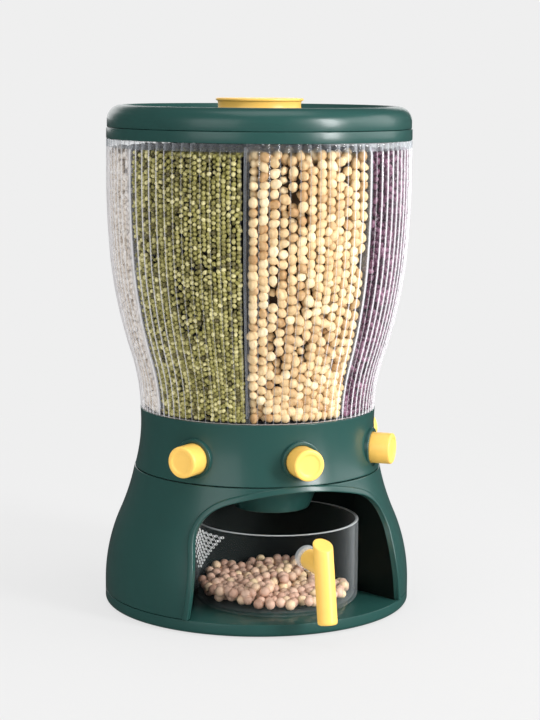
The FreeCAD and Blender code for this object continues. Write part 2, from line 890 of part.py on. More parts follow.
def make_hopper_floor():
    """Funnel floor of the hopper with the hub, the holes, and the stops and pins of the springs."""
    piece = Piece("hopper_floor", turned_by(first_turn))
    cone_base = trough_inner - s.trough_margin
    knee_radius = trough_outer + s.knee_run
    piece.revolve([
        (hub_bore, port_plate_top),
        (hub_radius, port_plate_top),
        (hub_radius, hub_top - s.funnel_wall - s.stop_gap),
        (cone_base, port_plate_top),
        (lug_front, port_plate_top),
        (lug_front, trough_top),
        (trough_outer + s.funnel_side, trough_top),
        (knee_radius + s.funnel_side, knee_height - s.trough_margin),
        (rim_radius, rim_top - s.funnel_wall),
        (rim_radius, rim_top),
        (knee_radius, knee_height),
        (trough_outer, trough_top),
        (trough_inner, trough_top),
        (hub_radius, hub_top),
        (hub_bore, hub_top),
    ])
    lug = piece.pad("XY_Plane", trough_top, s.lug_height - s.floor_plate, outlines=[
        box_outline(-s.lug_half, -lug_front, s.lug_half, -(lug_front - s.lug_thickness)),
    ])
    pin = piece.pad("XZ_Plane", lug_front - s.lug_thickness / 2, s.lug_thickness / 2 + s.pin_length,
                    circles=[(0, button_height, s.pin_radius)])
    piece.around([lug, pin])
    piece.pad("XY_Plane", port_plate_top, s.floor_boss_height, circles=floor_boss_circles(s.boss_radius))
    port = piece.pocket("XY_Plane", port_plate_top, s.floor_plate, outlines=[keystone(s.port_inner)])
    piece.around([port])
    piece.pocket("XY_Plane", port_plate_top, s.screw_bite + s.play,
                 circles=floor_boss_circles(s.screw_radius + s.fit))


def make_floor_screws():
    """Screws from the port plate into the hopper floor."""
    screws("floor_screws", floor_boss_circles(s.screw_radius), rotor_bottom + s.screw_head_height + s.play,
           port_plate_top, s.screw_bite, s.screw_head_radius, s.screw_head_height, s.screw_radius)


def make_button_band():
    """Waisted band with a raised ring and a hole for each button."""
    piece = Piece("button_band", turned_by(first_turn))
    outer = [
        (band_bottom_radius, band_bottom),
        (band_top_radius, band_top, s.band_waist_bulge),
    ]
    inner = [
        (band_bottom_radius - s.band_wall, band_bottom),
        (band_top_radius - s.band_wall, band_top, s.band_waist_bulge),
    ]
    piece.revolve(outer + backwards(inner))
    hole = s.button_radius + s.play
    ring = hole + s.ring_width
    front = band_top_radius + s.ring_proud
    root = front - s.ring_root
    lower = piece.pad("XZ_Plane", root, s.ring_root - s.ring_edge, circles=[(0, button_height, ring)])
    upper = piece.pad("XZ_Plane", front - s.ring_edge, s.ring_edge,
                      circles=[(0, button_height, ring - s.ring_edge)])
    piece.around([lower, upper])
    opening = piece.pocket("XZ_Plane", root - s.ring_root, s.ring_root * 2 + s.stop_gap,
                           circles=[(0, button_height, hole)])
    piece.around([opening])
    piece.pad("XY_Plane", port_plate_top, s.band_boss_height, circles=band_boss_circles(s.boss_radius))
    piece.pocket("XY_Plane", port_plate_top, s.screw_bite + s.play,
                 circles=band_boss_circles(s.screw_radius + s.fit))


def make_band_screws():
    """Screws from the port plate into the button band."""
    screws("band_screws", band_boss_circles(s.screw_radius), rotor_bottom + s.screw_head_height + s.play,
           port_plate_top, s.screw_bite, s.screw_head_radius, s.screw_head_height, s.screw_radius)


def hopper_side(inset, foot):
    """Corners of the clear shell's outer face, moved inwards, from a height near the foot to the neck."""
    return [
        (hopper_foot_radius - inset, foot),
        (hopper_low_radius - inset, hopper_low, s.hopper_low_bulge),
        (hopper_mid_radius - inset, hopper_mid, -s.hopper_mid_bulge),
        (hopper_top_radius - inset, hopper_top, -s.hopper_top_bulge),
    ]


def make_hopper_shell():
    """Clear shell round the compartments, standing on the rim of the hopper floor."""
    piece = Piece("hopper_shell")
    neck_radius = hopper_top_radius - s.neck_inset
    inner_radius = hopper_top_radius - s.hopper_wall
    piece.revolve(hopper_side(0, hopper_foot) + [
        (hopper_top_radius, hopper_neck),
        (neck_radius, hopper_neck),
        (neck_radius, collar_ring_bottom),
        (inner_radius - s.hopper_wall / 2, collar_ring_bottom),
        (inner_radius - s.hopper_wall / 2, hopper_neck - s.hopper_wall),
        (inner_radius, hopper_neck - 2 * s.hopper_wall),
    ] + backwards(hopper_side(s.hopper_wall, hopper_foot)))
    spigot_inner = rim_radius - s.spigot_width
    shoulder_radius = hopper_foot_radius
    spigot_top = rim_top + s.spigot_height
    piece.revolve([
        (spigot_inner, rim_top),
        (rim_radius, rim_top),
        (rim_radius, hopper_shoulder),
        (shoulder_radius, hopper_shoulder),
        (shoulder_radius, hopper_foot),
        (shoulder_radius - s.hopper_wall / 2, spigot_top),
        (spigot_inner, spigot_top),
    ])


def make_divider_star():
    """Upright vanes round a hollow column, which part the compartments."""
    piece = Piece("divider_star", turned_by(first_turn - half_pitch))
    column_radius = s.column_bore + s.column_wall
    top = hopper_neck - s.vane_drop
    roof = top - s.column_wall
    piece.revolve([
        (s.column_bore, hub_top),
        (column_radius, hub_top),
        (column_radius, top),
        (0, top),
        (0, roof),
        (s.column_bore, roof),
    ])
    root = s.column_bore + s.column_wall / 2
    over = s.play
    knee_radius = trough_outer + s.knee_run
    slope = (rim_top - knee_height) / (rim_radius - knee_radius)
    edge = rim_radius - s.spigot_width - s.play
    edge_height = knee_height + slope * (edge - knee_radius) + over
    foot = rim_top + s.spigot_height + s.play
    side = hopper_side(s.hopper_wall + s.play, foot)
    vane = [
        (root, hub_top + over),
        (column_radius + over, hub_top + over),
        (trough_inner + over, trough_top + over),
        (trough_outer - over, trough_top + over),
        (knee_radius - over, knee_height + over),
        (edge, edge_height),
        (edge, foot),
    ] + side + [
        (hopper_top_radius - s.hopper_wall - s.play, hopper_neck - 3 * s.hopper_wall),
        (hopper_top_radius - 2 * s.hopper_wall, top),
        (root, top),
    ]
    mirrored = [(-corner[0],) + corner[1:2] + tuple(-bulge for bulge in corner[2:]) for corner in vane]
    blade = piece.pad("YZ_Plane", 0, s.vane_thickness, outlines=[mirrored], symmetric=True)
    piece.around([blade])


def make_top_collar():
    """Collar round the mouth of the hopper."""
    piece = Piece("top_collar")
    outer = hopper_top_radius
    piece.revolve([
        (outer - s.collar_wall, hopper_neck + s.play),
        (outer, hopper_neck + s.play),
        (outer, collar_top),
        (collar_bore, collar_top),
        (collar_bore, collar_ring_bottom),
        (outer - s.collar_wall, collar_ring_bottom),
    ])


def make_lid():
    """Lid with its liner, seal, knob and the screw of the knob."""
    cover = Piece("lid_cover")
    side_top = lid_bottom + s.lid_side
    wall = s.lid_wall
    under = lid_recess - wall
    screw_hole = s.screw_radius + s.snug
    cover.revolve([
        (screw_hole, under),
        (lid_recess_radius + wall / 2, under),
        (lid_rim_inner, lid_top - wall),
        (lid_rim_radius, lid_top - wall),
        (lid_radius - wall, side_top, s.lid_round_bulge),
        (lid_radius - wall, lid_bottom),
        (lid_radius, lid_bottom),
        (lid_radius, side_top),
        (lid_rim_radius, lid_top, -s.lid_round_bulge),
        (lid_rim_inner, lid_top),
        (lid_recess_radius, lid_recess),
        (screw_hole, lid_recess),
    ])
    liner = Piece("lid_liner")
    liner_radius = collar_bore - s.liner_gap
    liner_bottom = lid_bottom - s.liner_depth
    liner_inner = liner_radius - s.liner_wall
    liner_top = under
    wall_radius = lid_recess_radius
    seal_top = lid_bottom - s.seal_drop
    seal_bottom = seal_top - s.seal_height
    groove = liner_radius - s.seal_depth
    liner.revolve([
        (0, liner_bottom),
        (liner_radius, liner_bottom),
        (liner_radius, seal_bottom),
        (groove, seal_bottom),
        (groove, seal_top),
        (liner_radius, seal_top),
        (liner_radius, lid_bottom + s.seal_drop),
        (wall_radius, liner_top),
        (wall_radius - s.liner_wall, liner_top),
        (liner_inner - s.seal_depth, lid_bottom + s.seal_drop),
        (liner_inner - s.seal_depth, liner_bottom + s.liner_floor),
        (0, liner_bottom + s.liner_floor),
    ])
    seal = Piece("lid_seal")
    seal.revolve(box_outline(groove + s.fit, seal_bottom + s.fit, collar_bore - s.play, seal_top - s.fit))
    knob = Piece("lid_knob")
    neck_top = lid_recess + s.knob_neck_height
    knob_top = neck_top + s.knob_cap_height
    bore = s.screw_radius + s.fit
    bore_top = lid_recess + s.knob_neck_height
    knob.revolve([
        (bore, lid_recess),
        (s.knob_neck_radius, lid_recess),
        (s.knob_neck_radius, neck_top, s.knob_waist),
        (s.knob_radius, neck_top),
        (s.knob_radius, knob_top - s.knob_round),
        (s.knob_radius - s.knob_round, knob_top, -s.knob_round_bulge),
        (0, knob_top),
        (0, bore_top),
        (bore, bore_top),
    ])
    screws("knob_screw", [(0, 0, s.screw_radius)], under, lid_recess, s.knob_neck_height - s.stop_gap,
           s.screw_head_radius, s.screw_head_height, s.screw_radius)


def make_cup():
    """Clear cup with a sieve in its wall, its handle and the screw of the handle."""
    stand = "placement(vector(0; %s; 0); rotation(vector(0; 0; 1); 0))" % (-cup_forward).text
    cup = Piece("cup_body", stand)
    foot = s.cup_radius - s.cup_foot_inset
    corner_top = cup_bottom + s.cup_corner
    wall = s.cup_wall
    cup.revolve([
        (0, cup_bottom),
        (foot, cup_bottom),
        (s.cup_radius, corner_top, -s.cup_corner_bulge),
        (s.cup_radius, cup_top),
        (s.cup_radius - wall, cup_top),
        (s.cup_radius - wall, corner_top + wall / 2),
        (foot - wall / 2, cup_bottom + wall, s.cup_corner_bulge),
        (0, cup_bottom + wall),
    ])
    boss = cup_bottom + s.boss_height
    socket_bore = s.boss_radius_handle + s.fit
    socket_start = s.cup_radius - wall / 2
    socket_end = s.cup_radius + s.socket_length
    seat = s.cup_radius + s.socket_seat
    cup.pad("XZ_Plane", socket_start, socket_end - socket_start, circles=[(0, boss, socket_bore + s.socket_wall)])
    cup.pocket("XZ_Plane", seat, socket_end - seat, circles=[(0, boss, socket_bore)])
    screw_start = s.cup_radius - wall * 2
    cup.pocket("XZ_Plane", screw_start, seat - screw_start, circles=[(0, boss, s.screw_radius + s.snug)])
    rows = round(s.hole_rows.number)
    for row in range(rows):
        height = cup_top - s.hole_drop - s.hole_pitch * row
        holes = []
        for column in range(rows - row):
            side = 1 if (row + column) % 2 == 0 else -1
            holes.append((s.hole_pitch * (column + 0.5) * side, height, s.hole_radius))
        cup.pocket("YZ_Plane", -s.sieve_start, socket_end - s.sieve_start, circles=holes, backward=True)

    forward = cup_forward + s.cup_radius + s.grip_forward
    tilt = -s.grip_tilt
    turn = "rotation(vector(1; 0; 0); %s)" % tilt.text
    place = "placement(vector(0; %s; %s); %s)" % ((-forward).text, boss.text, turn)
    handle = Piece("cup_handle", place)
    slant_rise = s.grip_radius * tangent(s.grip_slant)
    top = s.grip_above + slant_rise
    bottom = -s.grip_below
    handle.revolve([
        (0, bottom),
        (s.grip_radius - s.grip_round, bottom),
        (s.grip_radius, bottom + s.grip_round, -s.grip_round_bulge),
        (s.grip_radius, top),
        (0, top),
    ])
    handle.pocket("YZ_Plane", 0, s.grip_radius * 3, symmetric=True, outlines=[[
        (-(s.grip_radius + s.stop_gap), s.grip_above - slant_rise - s.stop_gap),
        (s.grip_radius + s.stop_gap, top + s.stop_gap),
        (-(s.grip_radius + s.stop_gap), top + s.stop_gap),
    ]])
    reach = s.grip_forward - s.socket_seat
    bore = (0, 0, s.screw_radius + s.fit)
    arm = (0, 0, s.boss_radius_handle)
    handle.pad("XZ_Plane", 0, reach - s.screw_bite - s.play, circles=[arm], lean=s.grip_tilt, backward=True)
    handle.pad("XZ_Plane", 0, reach, circles=[arm, bore], lean=s.grip_tilt, backward=True)

    along = "placement(vector(0; %s; %s); rotation(vector(1; 0; 0); 90))" % ((-cup_forward).text, boss.text)
    inner = s.cup_radius - wall
    screws("handle_screw", [(0, 0, s.screw_radius)], inner - s.play, seat, s.screw_bite,
           s.screw_head_radius, s.screw_head_height, s.screw_radius, along)


def spring_wire(height, radius, wire, turns):
    """A wound wire whose path is two arcs for each half turn of a helix.

    Returns the solid, with its axis on Z and its lower end at the origin, and the least gap between
    neighbouring turns.
    """
    steps = turns * 2
    pitch = (height - wire) / turns
    coil = radius - wire / 2
    climb = pitch / (2 * math.pi)
    points = []
    tangents = []
    for step in range(steps + 1):
        angle = math.pi * step
        points.append(FreeCAD.Vector(coil * math.cos(angle), coil * math.sin(angle),
                                     wire / 2 + climb * angle))
        along = FreeCAD.Vector(-coil * math.sin(angle), coil * math.cos(angle), climb)
        tangents.append(along.normalize())
    edges = []
    middles = []
    for step in range(steps):
        joint = biarc_joint(points[step], tangents[step], points[step + 1], tangents[step + 1])
        edges.append(tangent_arc(points[step], tangents[step], joint))
        edges.append(tangent_arc(points[step + 1], -tangents[step + 1], joint))
        middles.append(joint)
    path = Part.Wire(edges)
    section = Part.Wire(Part.makeCircle(wire / 2, points[0], tangents[0]))
    solid = path.makePipeShell([section], True, False)
    gap = min(middles[step + 2].distanceToPoint(middles[step]) for step in range(steps - 2)) - wire
    return solid, gap


def biarc_joint(start, start_along, end, end_along):
    """Where two equal-armed tangent arcs between two points meet."""
    chord = end - start
    both = start_along + end_along
    spread = 2 * (1 - start_along.dot(end_along))
    reach = chord.dot(both)
    arm = (math.sqrt(reach * reach + spread * chord.dot(chord)) - reach) / spread
    return (start + start_along * arm + end - end_along * arm) * 0.5


def tangent_arc(start, along, end):
    """The arc that leaves a point in a direction and ends in another point."""
    chord = end - start
    turn = along.getAngle(chord)
    side = (along - chord * (along.dot(chord) / chord.dot(chord))).normalize()
    middle = (start + end) * 0.5 + side * (chord.Length / 2 * math.tan(turn / 2))
    return Part.Arc(start, middle, end).toShape()


def make_button(index):
    """One button: its cap, the gate slide that it drives, and the spring behind it."""
    turn = first_turn + 2 * half_pitch * index
    lying = ("placement(vector(0; 0; %s); rotation(vector(0; 0; 1); %s) * rotation(vector(1; 0; 0); 90))"
             % (button_height.text, turn.text))
    cap = Piece("button_cap_%d" % (index + 1), lying)
    bore = s.button_radius - s.button_wall
    edge = s.button_radius - s.button_edge
    cap.revolve([
        (0, spring_end - s.spring_seat_length),
        (s.spring_seat_radius, spring_end - s.spring_seat_length),
        (s.spring_seat_radius, spring_end),
        (bore, spring_end),
        (bore, gate_end),
        (s.button_radius, gate_end),
        (s.button_radius, button_front - s.button_edge),
        (edge, button_front, -s.button_edge_bulge),
        (s.dish_radius, button_front),
        (s.dish_flat, button_front - s.dish_depth, s.dish_bulge),
        (0, button_front - s.dish_depth),
    ])
    gate = Piece("gate_slide_%d" % (index + 1), turned_by(turn))
    gate.pad("XY_Plane", gate_bottom, s.gate_thickness, outlines=[gate_outline(0)])
    gate.pocket("XY_Plane", gate_bottom, s.gate_thickness, outlines=[keystone(s.port_inner + s.button_travel)])
    half = s.upright_half
    gate.pad("XZ_Plane", upright_inner, s.upright_thickness, outlines=[[
        (-half, gate_top - s.gate_thickness / 2),
        (half, gate_top - s.gate_thickness / 2),
        (half, button_height),
        (0, button_height + half, -quarter_bulge(half)),
        (-half, button_height, -quarter_bulge(half)),
    ]])
    gate.pad("XZ_Plane", gate_end, s.coupler_length, circles=[(0, button_height, bore - s.snug)])
    gate.pocket("XZ_Plane", gate_end, s.coupler_length, circles=[(0, button_height, s.coupler_bore)])
    gate.pocket("XZ_Plane", upright_inner, s.upright_thickness, circles=[(0, button_height, s.upright_hole)])

    length = spring_end - lug_front - 2 * s.play
    solid, gap = spring_wire(length.number, s.spring_radius.number, s.spring_wire.number,
                             round(s.spring_turns.number))
    spring = document.addObject("Part::Feature", "return_spring_%d" % (index + 1))
    spring.Label = spring.Name
    spring.Shape = solid
    turned = FreeCAD.Rotation(FreeCAD.Vector(0, 0, 1), turn.number)
    lies = FreeCAD.Rotation(FreeCAD.Vector(1, 0, 0), 90)
    outward = turned.multVec(FreeCAD.Vector(0, -(lug_front + s.play).number, button_height.number))
    spring.Placement = FreeCAD.Placement(outward, turned * lies)
    pieces.append(spring)
    return gap


def finished_shape(piece):
    """The document object that holds a piece's shape."""
    return piece.body if isinstance(piece, Piece) else piece


def check_model():
    """Stop if any object failed, any shape is not a sound solid, or any cut removed nothing."""
    for thing in document.Objects:
        if "Invalid" in thing.State or "Error" in thing.State:
            raise RuntimeError("%s failed: %s" % (thing.Name, thing.State))
    for piece in pieces:
        thing = finished_shape(piece)
        shape = thing.Shape
        if shape.isNull() or not shape.isValid() or not shape.Solids:
            raise RuntimeError("%s has no sound solid" % thing.Label)
        if isinstance(piece, Piece):
            for cut in piece.cuts:
                if cut.Shape.Volume > cut.BaseFeature.Shape.Volume - LEAST_CUT:
                    raise RuntimeError("%s cuts nothing" % cut.Name)


def write_pieces():
    """Write each piece to a file of its own name."""
    os.makedirs("parts", exist_ok=True)
    for piece in pieces:
        thing = finished_shape(piece)
        thing.Shape.exportStep("parts/%s.step" % thing.Label)
        box = thing.Shape.BoundBox
        print("%-18s %2d solids %10.1f mm3  z %6.1f to %6.1f" % (
            thing.Label, len(thing.Shape.Solids), thing.Shape.Volume, box.ZMin, box.ZMax))


def main():
    """Build the whole dispenser and write it out."""
    make_base_plate()
    make_rubber_feet()
    make_base_shell()
    make_bay_wall()
    make_deck()
    make_base_screws()
    make_glide_ring()
    make_chute()
    make_chute_screws()
    make_spindle()
    make_port_plate()
    make_hub_bushing()
    make_hopper_floor()
    make_floor_screws()
    make_button_band()
    make_band_screws()
    make_hopper_shell()
    make_divider_star()
    make_top_collar()
    gap = 0
    for index in range(round(s.compartments.number)):
        gap = make_button(index)
    make_lid()
    make_cup()
    document.recompute()
    check_model()
    write_pieces()
    print("least gap between spring turns: %.2f mm" % gap)


main()
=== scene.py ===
"""Looks of the grain dispenser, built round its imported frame.

The origin is at the middle of the feet, +Z is up, the front faces -Y and lengths are metres. Sizes are
written in millimetres times MM.
"""

from __future__ import annotations

import json
import logging
import math
from contextlib import contextmanager
from dataclasses import dataclass, field
from enum import Enum
from typing import Any, Iterator, Optional, Sequence

import bpy
import numpy as np
from mathutils import Euler, Matrix, Vector

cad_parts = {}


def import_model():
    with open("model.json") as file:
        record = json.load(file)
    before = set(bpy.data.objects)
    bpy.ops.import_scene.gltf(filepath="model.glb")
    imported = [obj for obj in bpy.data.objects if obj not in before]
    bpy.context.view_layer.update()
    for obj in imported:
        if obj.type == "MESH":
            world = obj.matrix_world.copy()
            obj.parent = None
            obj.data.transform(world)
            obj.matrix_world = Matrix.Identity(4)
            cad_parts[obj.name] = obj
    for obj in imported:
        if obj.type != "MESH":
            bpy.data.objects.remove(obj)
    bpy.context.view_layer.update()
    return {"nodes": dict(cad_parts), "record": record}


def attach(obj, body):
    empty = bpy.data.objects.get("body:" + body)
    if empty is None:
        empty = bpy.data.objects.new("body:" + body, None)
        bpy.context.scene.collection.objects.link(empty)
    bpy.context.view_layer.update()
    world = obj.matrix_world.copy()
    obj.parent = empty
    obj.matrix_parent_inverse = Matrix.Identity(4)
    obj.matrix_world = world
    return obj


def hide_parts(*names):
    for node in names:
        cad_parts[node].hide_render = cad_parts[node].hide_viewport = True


logging.basicConfig(level=logging.INFO, format="%(message)s")
LOG = logging.getLogger("dispenser")

MM = 0.001
DIVISIONS = 7
BUTTONS = 6
PITCH = 2 * math.pi / DIVISIONS
REEDS = 13
STRIP = math.radians(2.8)
CUP_FORWARD = 38.3 * MM
CUP_RADIUS = 58.5 * MM
CUP_WALL = 2.2 * MM
BACK_OFF = 2 * MM
MERGE = 1e-6
TINT = "tint"

Corner = tuple[float, ...]
Colour = tuple[float, float, float]


class Slot(Enum):
    """Material slots of the record."""

    GREEN = "green_plastic"
    PALE = "pale_plastic"
    BEARING = "bearing_plastic"
    HOPPER = "clear_hopper"
    DIVIDER = "clear_divider"
    CUP = "clear_cup"
    YELLOW = "yellow_plastic"
    RUBBER = "rubber"
    SILICONE = "silicone"
    STEEL = "steel"


class Value:
    """A shader socket that takes part in Python sums."""

    def __init__(self, tree: bpy.types.NodeTree, socket: bpy.types.NodeSocket) -> None:
        """Wrap a socket.

        Args:
            tree: The node tree of the socket.
            socket: The output socket.
        """
        self.tree = tree
        self.socket = socket

    def _math(self, operation: str, first: Any, second: Any = None) -> "Value":
        """Add one Math node.

        Args:
            operation: The node's operation.
            first: Its first value or link.
            second: Its second value or link, if it takes one.

        Returns:
            The result.
        """
        node = self.tree.nodes.new("ShaderNodeMath")
        node.operation = operation
        for socket, value in zip(node.inputs, (first, second)):
            if isinstance(value, Value):
                self.tree.links.new(value.socket, socket)
            elif value is not None:
                socket.default_value = value
        return Value(self.tree, node.outputs[0])

    def __add__(self, other: Any) -> "Value":
        """Sum."""
        return self._math("ADD", self, other)

    def __radd__(self, other: Any) -> "Value":
        """Sum with a number on the left."""
        return self._math("ADD", other, self)

    def __sub__(self, other: Any) -> "Value":
        """Difference."""
        return self._math("SUBTRACT", self, other)

    def __rsub__(self, other: Any) -> "Value":
        """Difference with a number on the left."""
        return self._math("SUBTRACT", other, self)

    def __mul__(self, other: Any) -> "Value":
        """Product."""
        return self._math("MULTIPLY", self, other)

    def __rmul__(self, other: Any) -> "Value":
        """Product with a number on the left."""
        return self._math("MULTIPLY", other, self)

    def __truediv__(self, other: Any) -> "Value":
        """Quotient."""
        return self._math("DIVIDE", self, other)

    def __rtruediv__(self, other: Any) -> "Value":
        """Quotient with a number on the left."""
        return self._math("DIVIDE", other, self)

    def __pow__(self, other: Any) -> "Value":
        """Power."""
        return self._math("POWER", self, other)

    def __rpow__(self, other: Any) -> "Value":
        """Power of a number on the left."""
        return self._math("POWER", other, self)

    def fract(self) -> "Value":
        """What is left after the whole number."""
        return self._math("FRACT", self)

    def angle_from(self, across: Any) -> "Value":
        """Angle whose tangent is this value over another."""
        return self._math("ARCTAN2", self, across)

    def size(self) -> "Value":
        """Value without its sign."""
        return self._math("ABSOLUTE", self)

    def at_least(self, limit: Any) -> "Value":
        """Value, or the limit where that is greater."""
        return self._math("MAXIMUM", self, limit)

    def at_most(self, limit: Any) -> "Value":
        """The smaller of this and a limit."""
        return self._math("MINIMUM", self, limit)


class Shader:
    """The nodes of a material or a world under construction."""

    def __init__(self, owner: bpy.types.Material | bpy.types.World) -> None:
        """Start with no nodes.

        Args:
            owner: The new material or world.
        """
        self.owner = owner
        self.owner.use_nodes = True
        self.tree = self.owner.node_tree
        self.tree.nodes.clear()

    def node(
        self,
        kind: str,
        settings: Optional[dict[str, Any]] = None,
        sockets: Optional[dict[str | int, Any]] = None,
        output: str | int = 0,
    ) -> Value:
        """Add a node.

        Args:
            kind: The node's type without its ShaderNode prefix.
            settings: Its own settings, set first. Stops of a ramp are (place, colour) pairs.
            sockets: Values or links of its inputs.
            output: The output that is wanted.

        Returns:
            The output.
        """
        node = self.tree.nodes.new("ShaderNode" + kind)
        for name, value in (settings or {}).items():
            if name == "stops":
                elements = node.color_ramp.elements
                while len(elements) < len(value):
                    elements.new(1.0)
                for element, (place, colour) in zip(elements, value):
                    element.position = place
                    element.color = (*colour, 1.0)
            else:
                setattr(node, name, value)
        for name, value in (sockets or {}).items():
            if isinstance(value, Value):
                self.tree.links.new(value.socket, node.inputs[name])
            else:
                node.inputs[name].default_value = value
        return Value(self.tree, node.outputs[output])

    def close(self, kind: str, surface: Value) -> None:
        """Link the finished surface to the tree's output, a node of the given kind."""
        node = self.tree.nodes.new("ShaderNode" + kind)
        self.tree.links.new(surface.socket, node.inputs["Surface"])

    def place(self, scale: Sequence[float] = (1.0, 1.0, 1.0)) -> Value:
        """Object coordinates in metres, stretched by a scale on each axis."""
        coordinates = self.node("TexCoord", output="Object")
        return self.node("Mapping", sockets={"Vector": coordinates, "Scale": tuple(scale)})

    def part_of_place(self, axis: int) -> Value:
        """One of the three object coordinates."""
        return self.node("SeparateXYZ", sockets={"Vector": self.place()}, output=axis)

    def noise(self, scale: float, detail: float = 2.0, stretch: Sequence[float] = (1.0, 1.0, 1.0)) -> Value:
        """Noise from 0 to 1.

        Args:
            scale: Waves in a metre.
            detail: Octaves.
            stretch: Scale on each axis.

        Returns:
            The noise.
        """
        sockets = {"Vector": self.place(stretch), "Scale": scale, "Detail": detail}
        return self.node("TexNoise", sockets=sockets, output="Fac")

    def bump(self, height: Value, depth: float) -> Value:
        """Surface normals of a height pattern whose full depth is in metres."""
        return self.node("Bump", sockets={"Height": height, "Distance": depth, "Strength": 1.0})

    def tinted(self, factor: Value, low: Colour, high: Colour) -> Value:
        """A colour between two, by a factor."""
        return self.node("ValToRGB", {"stops": ((0.0, low), (1.0, high))}, {"Fac": factor})

    def surface(self, sockets: dict[str, Any]) -> bpy.types.Material:
        """Close the material with a Principled shader.

        Args:
            sockets: Values or links of the shader's inputs.

        Returns:
            The finished material.
        """
        shader = self.node("BsdfPrincipled", sockets=sockets)
        self.close("OutputMaterial", shader)
        return self.owner


def shade(colour: Colour, factor: float) -> Colour:
    """A colour made lighter or darker by a factor."""
    return tuple(min(1.0, part * factor) for part in colour)  # type: ignore[return-value]


@dataclass(frozen=True)
class Moulded:
    """Opaque injection-moulded plastic or rubber: a faint orange peel and slightly uneven gloss."""

    name: str
    colour: Colour
    roughness: float = 0.3
    unevenness: float = 0.05
    peel: float = 0.012 * MM
    mottle: float = 0.06
    coat: float = 0.0
    sheen: float = 0.0
    gloss: float = 0.5

    def material(self) -> bpy.types.Material:
        """Build the material.

        Returns:
            The material.
        """
        shader = Shader(bpy.data.materials.new(self.name))
        clouds = shader.noise(38.0, 3.0)
        peel = shader.noise(900.0, 2.0)
        wear = shader.noise(120.0, 3.0)
        dark = shade(self.colour, 1 - self.mottle)
        light = shade(self.colour, 1 + self.mottle)
        sockets = {
            "Base Color": shader.tinted(clouds, dark, light),
            "Roughness": wear * (2 * self.unevenness) + (self.roughness - self.unevenness),
            "Normal": shader.bump(peel, self.peel),
            "Coat Weight": self.coat,
            "Coat Roughness": 0.08,
            "Sheen Weight": self.sheen,
            "Specular IOR Level": self.gloss,
        }
        return shader.surface(sockets)


@dataclass(frozen=True)
class Clear:
    """Clear plastic: dark and seen through from the front, with a painted reflection at a glancing angle,
    where it turns pale and less see-through.
    """

    name: str
    colour: Colour
    face: float = 0.06
    # Alpha of the painted reflection at the most glancing angle.
    edge: float = 0.8
    power: float = 3.0
    roughness: float = 0.06
    # Darkness of the colour seen face-on, the low end of the painted reflection.
    depth: float = 0.25
    # Glance at which the painted reflection is at its palest.
    glare_full_at: float = 0.4

    def painted_light_marks(self, shader: Shader) -> Any:
        """Painted light marks that make the plastic less clear in places; none here."""
        return 0.0

    def glare_alpha(self, glance: Value) -> Value:
        """How much the painted reflection hides the plastic at a glancing angle."""
        return glance**self.power * (self.edge - self.face)

    def material(self) -> bpy.types.Material:
        """Build the material.

        Returns:
            The material.
        """
        shader = Shader(bpy.data.materials.new(self.name))
        glance = shader.node("LayerWeight", sockets={"Blend": 0.5}, output="Facing")
        clouds = shader.noise(45.0, 3.0, (1.0, 1.0, 0.25))
        # Painted reflection: the alpha rises towards a glancing angle.
        alpha = self.glare_alpha(glance) + clouds * (0.5 * self.face) + 0.75 * self.face
        alpha = alpha + self.painted_light_marks(shader)
        # Painted reflection: the colour turns pale towards a glancing angle, with a little random cloud.
        painted_glare_and_clouds = (glance / self.glare_full_at + clouds * 0.1).at_most(1.0)
        sockets = {
            "Base Color": shader.tinted(painted_glare_and_clouds, shade(self.colour, self.depth), self.colour),
            "Roughness": shader.noise(300.0) * 0.04 + (self.roughness - 0.02),
            "Alpha": alpha.at_most(1.0),
            "Normal": shader.bump(shader.noise(140.0), 0.01 * MM),
            "IOR": 1.5,
            "Specular IOR Level": 0.6,
        }
        return shader.surface(sockets)


@dataclass(frozen=True)
class Reeded(Clear):
    """Clear plastic with upright reeds, whose valleys show as fine painted lines of light and shade."""

    reeds: int = REEDS
    strip: float = STRIP
    # Painted lines along the valleys: their width, and their alpha.
    line: float = 0.18
    line_alpha: float = 0.45
    glare_alpha_from: float = 0.42
    glare_alpha_width: float = 0.32

    def glare_alpha(self, glance: Value) -> Value:
        """Clear up to a steep angle and pale soon after it, so that each reed shows a painted highlight on
        one side.
        """
        return ((glance - self.glare_alpha_from) / self.glare_alpha_width).at_least(0.0).at_most(1.0) * self.edge

    def painted_light_marks(self, shader: Shader) -> Value:
        """Painted lines of light and shade along the valleys between the reeds, and nothing between them.

        Args:
            shader: The material under construction.

        Returns:
            How much the painted lines hide.
        """
        across, ahead = (shader.part_of_place(axis) for axis in (0, 1))
        turn = across.angle_from(ahead * -1.0) / PITCH + (DIVISIONS + 0.5)
        share = (turn.fract() * PITCH - self.strip / 2) / (PITCH - self.strip) * self.reeds
        valley = ((share + 1.0).fract() - 0.5).size() * 2.0
        return ((valley - (1.0 - self.line)) / self.line).at_least(0.0) * self.line_alpha


@dataclass(frozen=True)
class Drilled(Clear):
    """Walls of the sieve's holes, with a painted highlight where they meet the cup's two faces."""

    forward: float = CUP_FORWARD
    middle: float = CUP_RADIUS - CUP_WALL / 2
    clear: float = 0.6 * MM
    change: float = 0.1 * MM

    def painted_light_marks(self, shader: Shader) -> Value:
        """Painted highlight near both faces.

        Args:
            shader: The material under construction.

        Returns:
            How much the painted highlight hides.
        """
        across, ahead = (shader.part_of_place(axis) for axis in (0, 1))
        ahead = ahead + self.forward
        reach = (across * across + ahead * ahead) ** 0.5
        return (((reach - self.middle).size() - self.clear) / self.change).at_least(0.0).at_most(1.0)


